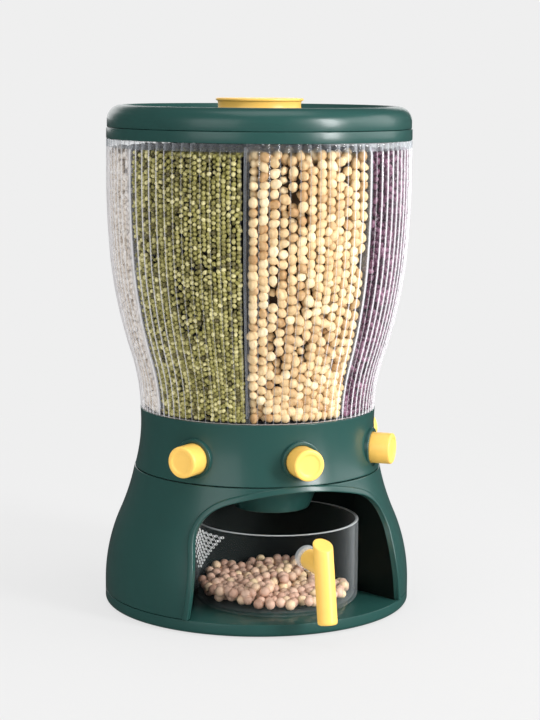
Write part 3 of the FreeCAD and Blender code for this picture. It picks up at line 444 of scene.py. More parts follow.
@dataclass(frozen=True)
class Metal:
    """Bright plated steel with fine turning marks."""

    name: str
    colour: Colour = (0.62, 0.62, 0.6)
    roughness: float = 0.28

    def material(self) -> bpy.types.Material:
        """Build the material.

        Returns:
            The material.
        """
        shader = Shader(bpy.data.materials.new(self.name))
        marks = shader.noise(700.0, 2.0, (1.0, 1.0, 6.0))
        sockets = {
            "Base Color": shader.tinted(marks, shade(self.colour, 0.86), shade(self.colour, 1.1)),
            "Metallic": 1.0,
            "Roughness": marks * 0.14 + (self.roughness - 0.07),
            "Normal": shader.bump(marks, 0.01 * MM),
        }
        return shader.surface(sockets)


@dataclass(frozen=True)
class SeedCoat:
    """Skin of dry grain, whose tint differs from seed to seed by the piece's own tint attribute."""

    name: str
    dark: Colour
    middle: Colour
    light: Colour
    roughness: float = 0.5
    wrinkle: float = 0.12 * MM

    def material(self) -> bpy.types.Material:
        """Build the material.

        Returns:
            The material.
        """
        shader = Shader(bpy.data.materials.new(self.name))
        tint = shader.node("Attribute", {"attribute_name": TINT}, output="Fac")
        spots = shader.noise(420.0, 3.0)
        blend = (tint * 0.8 + spots * 0.4 - 0.1).at_most(1.0)
        stops = ((0.0, self.dark), (0.5, self.middle), (1.0, self.light))
        sockets = {
            "Base Color": shader.node("ValToRGB", {"stops": stops}, {"Fac": blend}),
            "Roughness": spots * 0.2 + (self.roughness - 0.1),
            "Normal": shader.bump(spots, self.wrinkle),
        }
        return shader.surface(sockets)


Finish = Moulded | Clear | Metal | SeedCoat

GREEN = Moulded("green_gloss", (0.015, 0.064, 0.056), roughness=0.31, coat=0.1)
# Painted shade: a far darker copy of the green plastic, for parts that stand in shade.
GREEN_IN_SHADE = Moulded("green_shadow", (0.0016, 0.0065, 0.0055), roughness=0.6, gloss=0.15)
YELLOW = Moulded("yellow_gloss", (0.97, 0.59, 0.125), roughness=0.36, mottle=0.03)
PALE = Moulded("pale_satin", (0.55, 0.57, 0.56), roughness=0.45)
BEARING = Moulded("bearing_satin", (0.72, 0.7, 0.64), roughness=0.4)
RUBBER = Moulded("black_rubber", (0.018, 0.018, 0.018), roughness=0.78, sheen=0.2, peel=0.03 * MM)
SILICONE = Moulded("pale_silicone", (0.62, 0.64, 0.64), roughness=0.55, sheen=0.15)
HOPPER_CLEAR = Reeded("hopper_clear", (0.93, 0.92, 0.95), face=0.01, edge=0.75, depth=0.05)
# A paler, less see-through bluish grey for the outside of the shell above the mouth.
HOPPER_MOUTH = Clear("hopper_mouth", (0.6, 0.64, 0.68), face=0.15, edge=0.7, power=1.5, depth=0.4)
HOPPER_INSIDE = Clear("hopper_inside", (0.8, 0.8, 0.84), face=0.0, edge=0.3, power=4.0, depth=0.3)
DIVIDER_CLEAR = Clear("divider_clear", (0.52, 0.55, 0.6), face=0.32, edge=0.85, power=1.6, depth=0.6)
CUP_CLEAR = Clear("cup_clear", (0.55, 0.6, 0.62), face=0.008, edge=0.6, power=5.0, roughness=0.03)
# Painted highlight: a paler, less see-through clear for the cup's rim and the handle's socket, standing in
# for the light caught on them.
CUP_RIM_HIGHLIGHT = Clear("cup_rim_highlight", (0.85, 0.89, 0.9), face=0.3, edge=0.8, power=2.0, depth=0.7)
# Painted highlight: near-white walls of the sieve's holes stand in for the light that their rims catch.
SIEVE_HIGHLIGHT = Drilled("sieve_highlight", (0.92, 0.94, 0.94), face=0.02, edge=0.1, depth=0.95)
STEEL = Metal("plated_steel")

FINISH_OF_SLOT = {
    Slot.GREEN: GREEN,
    Slot.PALE: PALE,
    Slot.BEARING: BEARING,
    Slot.HOPPER: HOPPER_CLEAR,
    Slot.DIVIDER: DIVIDER_CLEAR,
    Slot.CUP: CUP_CLEAR,
    Slot.YELLOW: YELLOW,
    Slot.RUBBER: RUBBER,
    Slot.SILICONE: SILICONE,
    Slot.STEEL: STEEL,
}

# These nodes get the green in painted shade instead of their slot's finish; the liner's own slot is pale
# plastic.
FINISH_OF_NODE = {"bay_wall": GREEN_IN_SHADE, "deck": GREEN_IN_SHADE, "lid_liner": GREEN_IN_SHADE}


class Finishes:
    """Makes each finish's material once."""

    def __init__(self) -> None:
        """Start with none made."""
        self.made: dict[str, bpy.types.Material] = {}

    def of(self, finish: Finish) -> bpy.types.Material:
        """The material of a finish.

        Args:
            finish: The finish.

        Returns:
            Its material, the same one each time.
        """
        if finish.name not in self.made:
            self.made[finish.name] = finish.material()
        return self.made[finish.name]


FINISHES = Finishes()


def arc(start: Corner, end: Corner, bulge: float, steps: int) -> list[Corner]:
    """Points of a circular arc after its start, up to its end.

    Args:
        start: First point.
        end: Last point.
        bulge: How far the arc stands out to the left of its chord.
        steps: Number of points.

    Returns:
        The points.
    """
    along = Vector((end[0] - start[0], end[1] - start[1]))
    side = Vector((-along.y, along.x)).normalized()
    half = along.length / 2
    radius = (half * half + bulge * bulge) / (2 * abs(bulge))
    turn = 2 * math.asin(min(1.0, half / radius))
    sign = 1.0 if bulge > 0 else -1.0
    middle = Vector(start[:2]) + along / 2
    centre = middle + side * (bulge - sign * radius)
    first = Vector(start[:2]) - centre
    points = []
    for step in range(1, steps + 1):
        angle = -sign * turn * step / steps
        spoke = Matrix.Rotation(angle, 2) @ first
        points.append(tuple(centre + spoke))
    return points


def chain(corners: Sequence[Corner], steps: int = 12) -> list[Corner]:
    """Expand corners of (x, y) or (x, y, bulge), where the bulge belongs to the edge that ends there.

    Args:
        corners: The corners.
        steps: Facets of each arc.

    Returns:
        The points.
    """
    points: list[Corner] = [corners[0][:2]]
    for corner in corners[1:]:
        if len(corner) == 3 and corner[2]:
            points += arc(points[-1], corner[:2], corner[2], steps)
        else:
            points.append(corner[:2])
    return points


def mirrored(corners: Sequence[Corner]) -> list[Corner]:
    """The same chain the other way round, with each bulge on the same edge.

    Args:
        corners: The corners.

    Returns:
        The same corners from last to first.
    """
    result: list[Corner] = []
    bulge: Optional[float] = None
    for corner in reversed(corners):
        result.append(corner[:2] if bulge is None else (*corner[:2], -bulge))
        bulge = corner[2] if len(corner) == 3 else None
    return result


def denser(points: Sequence[Corner], step: float) -> list[Corner]:
    """The same line with more points, none further apart than a step.

    Args:
        points: The line.
        step: Greatest distance between two points.

    Returns:
        The denser line.
    """
    line = [points[0]]
    for start, end in zip(points, points[1:]):
        count = max(1, math.ceil(math.dist(start, end) / step))
        for index in range(1, count + 1):
            share = index / count
            line.append((start[0] + (end[0] - start[0]) * share, start[1] + (end[1] - start[1]) * share))
    return line


def radius_at(points: Sequence[Corner], height: float) -> float:
    """Radius of a profile of (radius, height) points at a height."""
    return float(np.interp(height, [point[1] for point in points], [point[0] for point in points]))


def inwards(corners: Sequence[Corner], inset: float) -> list[Corner]:
    """A chain of (radius, height) corners moved towards the axis."""
    return [(corner[0] - inset, *corner[1:]) for corner in corners]


def nothing_selected() -> None:
    """Leave edit mode and deselect every object."""
    if bpy.context.object and bpy.context.object.mode != "OBJECT":
        bpy.ops.object.mode_set(mode="OBJECT")
    bpy.ops.object.select_all(action="DESELECT")


def pick(piece: bpy.types.Object) -> None:
    """Make a piece the only selected and active one.

    Args:
        piece: The piece.
    """
    nothing_selected()
    piece.select_set(True)
    bpy.context.view_layer.objects.active = piece


@contextmanager
def editing(piece: bpy.types.Object) -> Iterator[None]:
    """Edit mode on one piece, with all of it selected.

    Args:
        piece: The piece.

    Yields:
        Nothing: the piece is in edit mode meanwhile.
    """
    pick(piece)
    bpy.ops.object.mode_set(mode="EDIT")
    bpy.ops.mesh.select_all(action="SELECT")
    yield
    bpy.ops.object.mode_set(mode="OBJECT")


@contextmanager
def editing_kept(piece: bpy.types.Object, kind: str) -> Iterator[None]:
    """Edit mode that keeps what is selected.

    Args:
        piece: The piece.
        kind: EDGE or FACE, whichever is selected.

    Yields:
        Nothing: the piece is in edit mode meanwhile.
    """
    pick(piece)
    bpy.ops.object.mode_set(mode="EDIT")
    bpy.ops.mesh.select_mode(type=kind)
    yield
    bpy.ops.mesh.select_mode(type="VERT")
    bpy.ops.object.mode_set(mode="OBJECT")


def named(name: str) -> bpy.types.Object:
    """Give the primitive just added its name.

    Args:
        name: Its name.

    Returns:
        The primitive.
    """
    piece = bpy.context.object
    piece.name = name
    piece.data.name = name
    return piece


def seal() -> None:
    """Merge doubles and turn faces outwards, in edit mode."""
    bpy.ops.mesh.select_all(action="SELECT")
    bpy.ops.mesh.remove_doubles(threshold=MERGE)
    bpy.ops.mesh.normals_make_consistent(inside=False)


def apply_place(piece: bpy.types.Object, place: Optional[Matrix] = None) -> None:
    """Put a piece somewhere and bake the place into its mesh.

    Args:
        piece: The piece.
        place: Where it goes, or None to bake where it is.
    """
    pick(piece)
    if place is not None:
        piece.matrix_world = place
    bpy.ops.object.transform_apply(location=True, rotation=True, scale=True)


def apply_modifier(piece: bpy.types.Object, kind: str, **settings: Any) -> None:
    """Add one modifier and apply it.

    Args:
        piece: The piece.
        kind: The modifier's type.
        **settings: Its settings.
    """
    pick(piece)
    modifier = piece.modifiers.new(kind.lower(), kind)
    for name, value in settings.items():
        setattr(modifier, name, value)
    bpy.ops.object.modifier_apply(modifier=modifier.name)


def soften(piece: bpy.types.Object, width: float, segments: int = 3, angle: float = 40.0) -> None:
    """Round the sharp edges of a piece.

    Args:
        piece: The piece.
        width: Width of the bevel.
        segments: Facets of the bevel.
        angle: Least angle in degrees between the faces at an edge.
    """
    apply_modifier(
        piece,
        "BEVEL",
        width=width,
        segments=segments,
        limit_method="ANGLE",
        angle_limit=math.radians(angle),
        harden_normals=False,
    )


def smooth(piece: bpy.types.Object, angle: float = 35.0) -> None:
    """Smooth shading except over edges sharper than an angle in degrees."""
    pick(piece)
    bpy.ops.object.shade_smooth_by_angle(angle=math.radians(angle))


def extrude_to(points: Sequence[Corner], place: Any) -> None:
    """Extrude the selected vertex through points, in edit mode.

    Args:
        points: The points, of which the first is where the vertex is.
        place: Turns a point into a place in space.
    """
    for start, end in zip(points, points[1:]):
        step = Vector(place(end)) - Vector(place(start))
        bpy.ops.mesh.extrude_region_move(TRANSFORM_OT_translate={"value": step})


def drawn(name: str, points: Sequence[Corner], place: Any) -> bpy.types.Object:
    """Draw a chain of edges from one vertex.

    Args:
        name: The piece's name.
        points: Points in the chain's own plane.
        place: Turns such a point into a place in space.

    Returns:
        The chain, in object mode, with all of it selected.
    """
    nothing_selected()
    bpy.ops.mesh.primitive_plane_add(size=MM)
    piece = named(name)
    with editing(piece):
        bpy.ops.mesh.merge(type="CENTER")
        bpy.ops.transform.translate(value=place(points[0]))
        extrude_to(points, place)
    return piece


def lathe(name: str, corners: Sequence[Corner], steps: int = 256, arc_steps: int = 12) -> bpy.types.Object:
    """Turn a chain of (radius, height) corners about the Z axis.

    Args:
        name: The piece's name.
        corners: Corners with their bulges. A hollow piece's chain ends where it starts.
        steps: Facets round the axis.
        arc_steps: Facets of each arc.

    Returns:
        The closed mesh.
    """
    piece = drawn(name, chain(corners, arc_steps), lambda point: (point[0], 0.0, point[1]))
    with editing(piece):
        bpy.ops.mesh.spin(steps=steps, angle=2 * math.pi, center=(0.0, 0.0, 0.0), axis=(0.0, 0.0, 1.0))
        seal()
    return piece


def prism(name: str, outline: Sequence[Corner], near: float, far: float) -> bpy.types.Object:
    """A solid with an outline of (x, z) points, from y near to y far.

    Args:
        name: The piece's name.
        outline: Its outline as (x, z) points.
        near: Its y at the first face.
        far: Its y at the other face.

    Returns:
        The closed mesh.
    """
    piece = drawn(name, outline, lambda point: (point[0], near, point[1]))
    with editing(piece):
        bpy.ops.mesh.edge_face_add()
        bpy.ops.mesh.extrude_region_move(TRANSFORM_OT_translate={"value": (0.0, far - near, 0.0)})
        seal()
    return piece


def copy_of(piece: bpy.types.Object, name: str, place: Matrix) -> bpy.types.Object:
    """A copy of a piece with its own mesh, at a place that is baked into it.

    Args:
        piece: What is copied.
        name: The copy's name.
        place: Where the copy goes.

    Returns:
        The copy.
    """
    pick(piece)
    bpy.ops.object.duplicate(linked=False)
    twin = named(name)
    apply_place(twin, place)
    return twin


def joined(pieces: Sequence[bpy.types.Object], name: str) -> bpy.types.Object:
    """Several pieces made one.

    Args:
        pieces: The pieces, which are used up.
        name: The name of the result.

    Returns:
        The one piece.
    """
    pick(pieces[0])
    for piece in pieces:
        piece.select_set(True)
    bpy.ops.object.join()
    return named(name)


def combine(piece: bpy.types.Object, other: bpy.types.Object, operation: str = "DIFFERENCE") -> None:
    """Cut another piece from a piece, or add it, and remove the other.

    Args:
        piece: The piece that stays.
        other: The piece that is used up.
        operation: DIFFERENCE to cut, or UNION to add.
    """
    apply_modifier(piece, "BOOLEAN", object=other, solver="EXACT", operation=operation)
    bpy.data.objects.remove(other)
    with editing(piece):
        bpy.ops.mesh.remove_doubles(threshold=MERGE)


def meshed(name: str, vertices: Sequence[Any], faces: Sequence[Any]) -> bpy.types.Object:
    """A mesh object from points and faces.

    Args:
        name: The piece's name.
        vertices: Its points.
        faces: Its faces as numbers of points.

    Returns:
        The piece.
    """
    mesh = bpy.data.meshes.new(name)
    mesh.from_pydata([tuple(vertex) for vertex in vertices], [], [tuple(face) for face in faces])
    piece = bpy.data.objects.new(name, mesh)
    bpy.context.scene.collection.objects.link(piece)
    return piece


def tube_faces(rings: int, count: int) -> list[tuple[int, ...]]:
    """Faces of a tube that is closed at both ends.

    Args:
        rings: Number of rings of points along it.
        count: Points of each ring.

    Returns:
        The faces.
    """
    faces = []
    for ring in range(rings - 1):
        first = ring * count
        for step in range(count):
            following = (step + 1) % count
            faces.append((first + step, first + following, first + count + following, first + count + step))
    faces.append(tuple(range(count)))
    last = (rings - 1) * count
    faces.append(tuple(range(last + count - 1, last - 1, -1)))
    return faces


def raise_loop(profile: Sequence[Corner]) -> None:
    """Extrude the selected loop through (radius, height) levels, in edit mode.

    Args:
        profile: The levels, of which the first is where the loop is.
    """
    for (radius, height), (next_radius, next_height) in zip(profile, profile[1:]):
        bpy.ops.mesh.extrude_region_move(TRANSFORM_OT_translate={"value": (0.0, 0.0, next_height - height)})
        scale = next_radius / radius
        bpy.ops.transform.resize(value=(scale, scale, 1.0), center_override=(0.0, 0.0, 0.0))


def select_level(piece: bpy.types.Object, height: float) -> None:
    """Select the open edges of a piece that lie at a height.

    Args:
        piece: The piece.
        height: The height.
    """
    pick(piece)
    mesh = piece.data
    use: dict[tuple[int, int], int] = {}
    for polygon in mesh.polygons:
        polygon.select = False
        for key in polygon.edge_keys:
            use[key] = use.get(key, 0) + 1
    flat = [abs(vertex.co.z - height) < 0.01 * MM for vertex in mesh.vertices]
    for vertex in mesh.vertices:
        vertex.select = False
    for edge in mesh.edges:
        first, second = edge.vertices
        edge.select = flat[first] and flat[second] and use.get(edge.key, 0) < 2
        if edge.select:
            mesh.vertices[first].select = True
            mesh.vertices[second].select = True


def about_z(angle: float) -> Matrix:
    """A turn about the Z axis."""
    return Matrix.Rotation(angle, 4, "Z")


def lying(place: Sequence[float]) -> Matrix:
    """A place whose own Z axis points to the front."""
    return Matrix.Translation(place) @ Matrix.Rotation(math.pi / 2, 4, "X")


def dress(piece: bpy.types.Object, finish: Optional[Finish], slot: Slot, body: str, *nodes: str) -> None:
    """Give a finished piece its material and its body, and hide the nodes that it stands for.

    Args:
        piece: The piece.
        finish: Its finish, or None where it has its materials already.
        slot: Its slot in the record; not used.
        body: The body that it rides on.
        *nodes: The nodes that it stands for, if any.
    """
    if finish is not None:
        piece.data.materials.clear()
        piece.data.materials.append(FINISHES.of(finish))
    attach(piece, body)
    if nodes:
        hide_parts(*nodes)
    LOG.info("%s: %d faces on %s", piece.name, len(piece.data.polygons), body)


@dataclass
class Base:
    """Round base: plate, feet, flared shell with its arched opening, and the chute over the cup."""

    radius: float = 110 * MM
    plate_bottom: float = 0.8 * MM
    plate_top: float = 9.6 * MM
    plate_thickness: float = 3 * MM
    plate_rim: float = 6 * MM
    plate_round: float = 3.2 * MM
    plate_round_bulge: float = 0.9 * MM
    foot_ring: float = 92 * MM
    foot_count: int = 5
    foot_seat: float = 8.05 * MM
    foot_wall: float = 2.4 * MM
    foot_height: float = 3 * MM
    shell_wall: float = 2.6 * MM
    shell_foot: float = 15 * MM
    waist_radius: float = 99.6 * MM
    waist_height: float = 65 * MM
    top_radius: float = 88.7 * MM
    top_height: float = 99.3 * MM
    swell: float = 2.65 * MM
    flare: float = 0.99 * MM
    arch_foot: float = 78.6 * MM
    arch_knee: float = 73.2 * MM
    arch_knee_height: float = 57 * MM
    arch_shoulder: float = 47 * MM
    arch_shoulder_height: float = 88.9 * MM
    arch_corner_bulge: float = 6.5 * MM
    arch_crown: float = 7.1 * MM
    lip_width: float = 4.6 * MM
    lip_proud: float = 1.2 * MM
    lip_overlap: float = 1.2 * MM
    lip_step: float = 1.5 * MM
    lip_behind: float = 0.4 * MM
    lip_round: float = 0.8 * MM
    lip_slope: float = 0.9 * MM
    lip_foot: float = 0.2 * MM
    lip_sink: float = 0.4 * MM
    lip_bed: float = 0.5 * MM
    edge: float = 0.25 * MM
    seam: float = 0.5 * MM
    chute_forward: float = 29.8 * MM
    chute_bottom: float = 74.8 * MM
    chute_mouth: float = 24.5 * MM
    chute_top: float = 31 * MM
    chute_wall: float = 2 * MM
    chute_flange: float = 40 * MM
    deck_bottom: float = 95.6 * MM

    def side(self) -> list[Corner]:
        """Corners of the shell's outer face, upwards.

        Returns:
            The corners, with their bulges.
        """
        return [
            (self.radius, self.plate_top + self.seam),
            (self.radius, self.shell_foot),
            (self.waist_radius, self.waist_height, -self.swell),
            (self.top_radius, self.top_height, self.flare),
        ]

    def arch(self, grow: float, low: float, steps: int) -> list[Corner]:
        """The arched opening as (x, z) points, from its right foot over the crown to its left foot.

        Args:
            grow: How far the outline is grown.
            low: Height of its feet.
            steps: Facets of each arc.

        Returns:
            The points.
        """
        shoulder = (self.arch_shoulder + grow, self.arch_shoulder_height + grow)
        knee = (self.arch_knee + grow, self.arch_knee_height + grow)
        left_shoulder = (-shoulder[0], shoulder[1])
        return chain(
            [
                (self.arch_foot + grow, low),
                knee,
                (*shoulder, -self.arch_corner_bulge),
                (*left_shoulder, -self.arch_crown),
                (-knee[0], knee[1], -self.arch_corner_bulge),
                (-(self.arch_foot + grow), low),
            ],
            steps,
        )

    def build_plate(self) -> None:
        """Plate with a rolled rim and the seats of the feet under it."""
        underside = self.plate_top - self.plate_thickness
        inner = self.radius - self.plate_rim
        plate = lathe(
            "base_floor",
            [
                (0.0, underside),
                (inner, underside),
                (inner, self.plate_bottom),
                (self.radius - self.plate_round, self.plate_bottom),
                (self.radius, self.plate_bottom + self.plate_round, -self.plate_round_bulge),
                (self.radius, self.plate_top),
                (0.0, self.plate_top),
            ],
        )
        soften(plate, self.edge)
        seat = lathe(
            "foot_seat",
            [
                (self.foot_seat, self.plate_bottom),
                (self.foot_seat + self.foot_wall, self.plate_bottom),
                (self.foot_seat + self.foot_wall, underside),
                (0.0, underside),
                (0.0, self.foot_height),
                (self.foot_seat, self.foot_height),
                (self.foot_seat, self.plate_bottom),
            ],
            steps=48,
        )
        seats = [seat]
        for index in range(self.foot_count):
            turn = about_z(2 * math.pi * index / self.foot_count)
            place = turn @ Matrix.Translation((0, self.foot_ring, 0))
            seats.append(copy_of(seat, f"foot_seat_{index}", place))
        plate = joined([plate, *seats], "base_floor")
        smooth(plate)
        dress(plate, GREEN, Slot.GREEN, "base", "base_plate")

    def build_shell(self) -> None:
        """Flared shell with the arch cut through its front."""
        outer = chain(self.side(), 40)
        inner = chain(mirrored(inwards(self.side(), self.shell_wall)), 10)
        shell = lathe("base_skirt", [*outer, *inner, outer[0]], steps=384)
        soften(shell, self.edge)
        opening = self.arch(self.lip_overlap / 2, self.plate_bottom, 24)
        cutter = prism("arch_cutter", opening, -(self.radius + BACK_OFF), -self.arch_shoulder)
        combine(shell, cutter)
        smooth(shell)
        dress(shell, GREEN, Slot.GREEN, "base", "base_shell")

    def shell_radius(self, height: float) -> float:
        """Radius of the shell's outer face at a height."""
        return radius_at(chain(self.side(), 40), height)

    def lip_path(self) -> tuple[list[Vector], list[Vector]]:
        """Places along the arch on the shell's outer face, and the way out of the shell at each.

        Returns:
            The places, and a direction for each.
        """
        places = []
        normals = []
        for across, height in denser(self.arch(0.0, self.plate_top + self.seam, 36), self.lip_step):
            radius = self.shell_radius(height)
            place = Vector((across, -math.sqrt(radius * radius - across * across), height))
            rise = self.shell_radius(height + MM) - self.shell_radius(height - MM)
            out = Vector((place.x, place.y, 0.0)).normalized()
            places.append(place)
            normals.append((out - Vector((0, 0, rise / (2 * MM)))).normalized())
        return places, normals

    def lip_section(self) -> list[Corner]:
        """Section of the lip: how far from the arch, and how far out of the shell.

        Returns:
            The points of the section.
        """
        back = -(self.shell_wall + self.lip_behind)
        return chain(
            [
                (0.0, back),
                (0.0, self.lip_proud - self.lip_round),
                (self.lip_round, self.lip_proud, 0.3 * self.lip_round),
                (self.lip_width - self.lip_slope, self.lip_proud * 0.9, 0.05 * MM),
                (self.lip_width - self.lip_foot, 0.0, 0.15 * MM),
                (self.lip_width, -self.lip_sink),
                (self.lip_overlap, -self.lip_bed),
                (self.lip_overlap, back),
            ],
            5,
        )

    def build_lip(self) -> None:
        """Rolled lip that follows the arch over the curved shell."""
        places, normals = self.lip_path()
        section = self.lip_section()
        last = len(places) - 1
        vertices = []
        for index, (place, normal) in enumerate(zip(places, normals)):
            along = (places[min(last, index + 1)] - places[max(0, index - 1)]).normalized()
            if index in (0, last):
                along = Vector((0.0, 0.0, 1.0 if index == 0 else -1.0))
            outward = along.cross(normal).normalized()
            for across, up in section:
                point = place + outward * across
                reach = (self.shell_radius(point.z) + up) / math.hypot(point.x, point.y)
                vertices.append(Vector((point.x * reach, point.y * reach, point.z)))
        lip = meshed("arch_lip", vertices, tube_faces(len(places), len(section)))
        with editing(lip):
            seal()
        smooth(lip, 50.0)
        dress(lip, GREEN, Slot.GREEN, "base", "base_shell")

    def build_chute(self) -> None:
        """Funnel that leads the grain into the cup."""
        flange_bottom = self.deck_bottom - self.chute_wall
        chute = lathe(
            "grain_funnel",
            [
                (self.chute_mouth, self.chute_bottom),
                (self.chute_mouth + self.chute_wall, self.chute_bottom),
                (self.chute_top + self.chute_wall, flange_bottom, -0.6 * MM),
                (self.chute_flange, flange_bottom),
                (self.chute_flange, self.deck_bottom),
                (self.chute_top, self.deck_bottom),
                (self.chute_mouth, self.chute_bottom, 0.6 * MM),
            ],
            steps=128,
        )
        soften(chute, 0.4 * MM)
        apply_place(chute, Matrix.Translation((0, -self.chute_forward, 0)))
        smooth(chute)
        dress(chute, GREEN, Slot.GREEN, "base", "chute")

    def build(self) -> None:
        """Build every piece of the base."""
        self.build_plate()
        self.build_shell()
        self.build_lip()
        self.build_chute()


@dataclass
class ButtonBand:
    """Waisted band with a raised ring round each push button."""

    bottom_radius: float = 88.2 * MM
    top_radius: float = 84.5 * MM
    waist: float = 1.82 * MM
    bottom: float = 100 * MM
    top: float = 142.2 * MM
    wall: float = 2.5 * MM
    edge: float = 0.35 * MM
    axis_height: float = 116.7 * MM
    ring_bore: float = 11.3 * MM
    ring_radius: float = 14 * MM
    ring_root: float = 80.4 * MM
    ring_front: float = 86.4 * MM
    ring_edge: float = 0.8 * MM
    cap_radius: float = 11 * MM
    cap_front: float = 101 * MM
    cap_length: float = 20.5 * MM
    cap_wall: float = 2 * MM
    cap_face: float = 3 * MM
    cap_edge: float = 1.5 * MM
    dish_radius: float = 7.4 * MM
    dish_depth: float = 0.8 * MM
    seat_radius: float = 3.25 * MM
    seat_length: float = 3 * MM

    def outward(self, index: int) -> Matrix:
        """Place of a button: its local Z axis points out of the band."""
        return about_z(PITCH * (index - 1)) @ lying((0, 0, self.axis_height))

    def build_band(self) -> None:
        """The band with its round openings."""
        outer = [(self.bottom_radius, self.bottom), (self.top_radius, self.top, self.waist)]
        inner = chain(mirrored(inwards(outer, self.wall)), 12)
        points = chain(outer, 40)
        band = lathe("band_ring", [*points, *inner, points[0]], steps=504)
        soften(band, self.edge)
        nothing_selected()
        bpy.ops.mesh.primitive_cylinder_add(
            radius=self.ring_radius - self.ring_edge,
            depth=self.cap_length * 2,
            vertices=96,
            location=(0, 0, self.cap_front - self.cap_length),
        )
        hole = named("hole")
        apply_place(hole)
        holes = [copy_of(hole, f"hole_{index}", self.outward(index)) for index in range(BUTTONS)]
        bpy.data.objects.remove(hole)
        combine(band, joined(holes, "holes"))
        smooth(band)
        dress(band, GREEN, Slot.GREEN, "carousel", "button_band")

    def build_rings(self) -> None:
        """Raised rings round the openings, modelled once."""
        edge = self.ring_edge
        ring = lathe(
            "ring",
            [
                (self.ring_bore, self.ring_root),
                (self.ring_radius, self.ring_root),
                (self.ring_radius, self.ring_front - edge),
                (self.ring_radius - edge, self.ring_front, -0.29 * edge),
                (self.ring_bore + 0.6 * edge, self.ring_front),
                (self.ring_bore, self.ring_front - 0.6 * edge, -0.17 * edge),
                (self.ring_bore, self.ring_root),
            ],
            steps=120,
            arc_steps=6,
        )
        for index in range(BUTTONS):
            twin = copy_of(ring, f"button_ring_{index + 1}", self.outward(index))
            smooth(twin)
            dress(twin, GREEN, Slot.GREEN, "carousel", "button_band")
        bpy.data.objects.remove(ring)

    def build_caps(self) -> None:
        """Push buttons with a shallow dish, modelled once."""
        bore = self.cap_radius - self.cap_wall
        back = self.cap_front - self.cap_length
        inside = self.cap_front - self.cap_face
        floor = self.cap_front - self.dish_depth
        cap = lathe(
            "cap",
            [
                (0.0, inside - self.seat_length),
                (self.seat_radius, inside - self.seat_length),
                (self.seat_radius, inside),
                (bore, inside),
                (bore, back),
                (self.cap_radius, back),
                (self.cap_radius, self.cap_front - self.cap_edge),
                (self.cap_radius - self.cap_edge, self.cap_front, -0.29 * self.cap_edge),
                (self.dish_radius + 0.5 * MM, self.cap_front),
                (self.dish_radius - 0.9 * MM, floor + 0.12 * MM, 0.12 * MM),
                (self.dish_radius * 0.45, floor, 0.04 * MM),
                (0.0, floor),
            ],
            steps=128,
            arc_steps=8,
        )
        soften(cap, 0.2 * MM)
        for index in range(BUTTONS):
            twin = copy_of(cap, f"push_button_{index + 1}", self.outward(index))
            smooth(twin)
            dress(twin, YELLOW, Slot.YELLOW, f"button_{index + 1}", f"button_cap_{index + 1}")
        bpy.data.objects.remove(cap)

    def build(self) -> None:
        """Build the band, its rings and the buttons."""
        self.build_band()
        self.build_rings()
        self.build_caps()


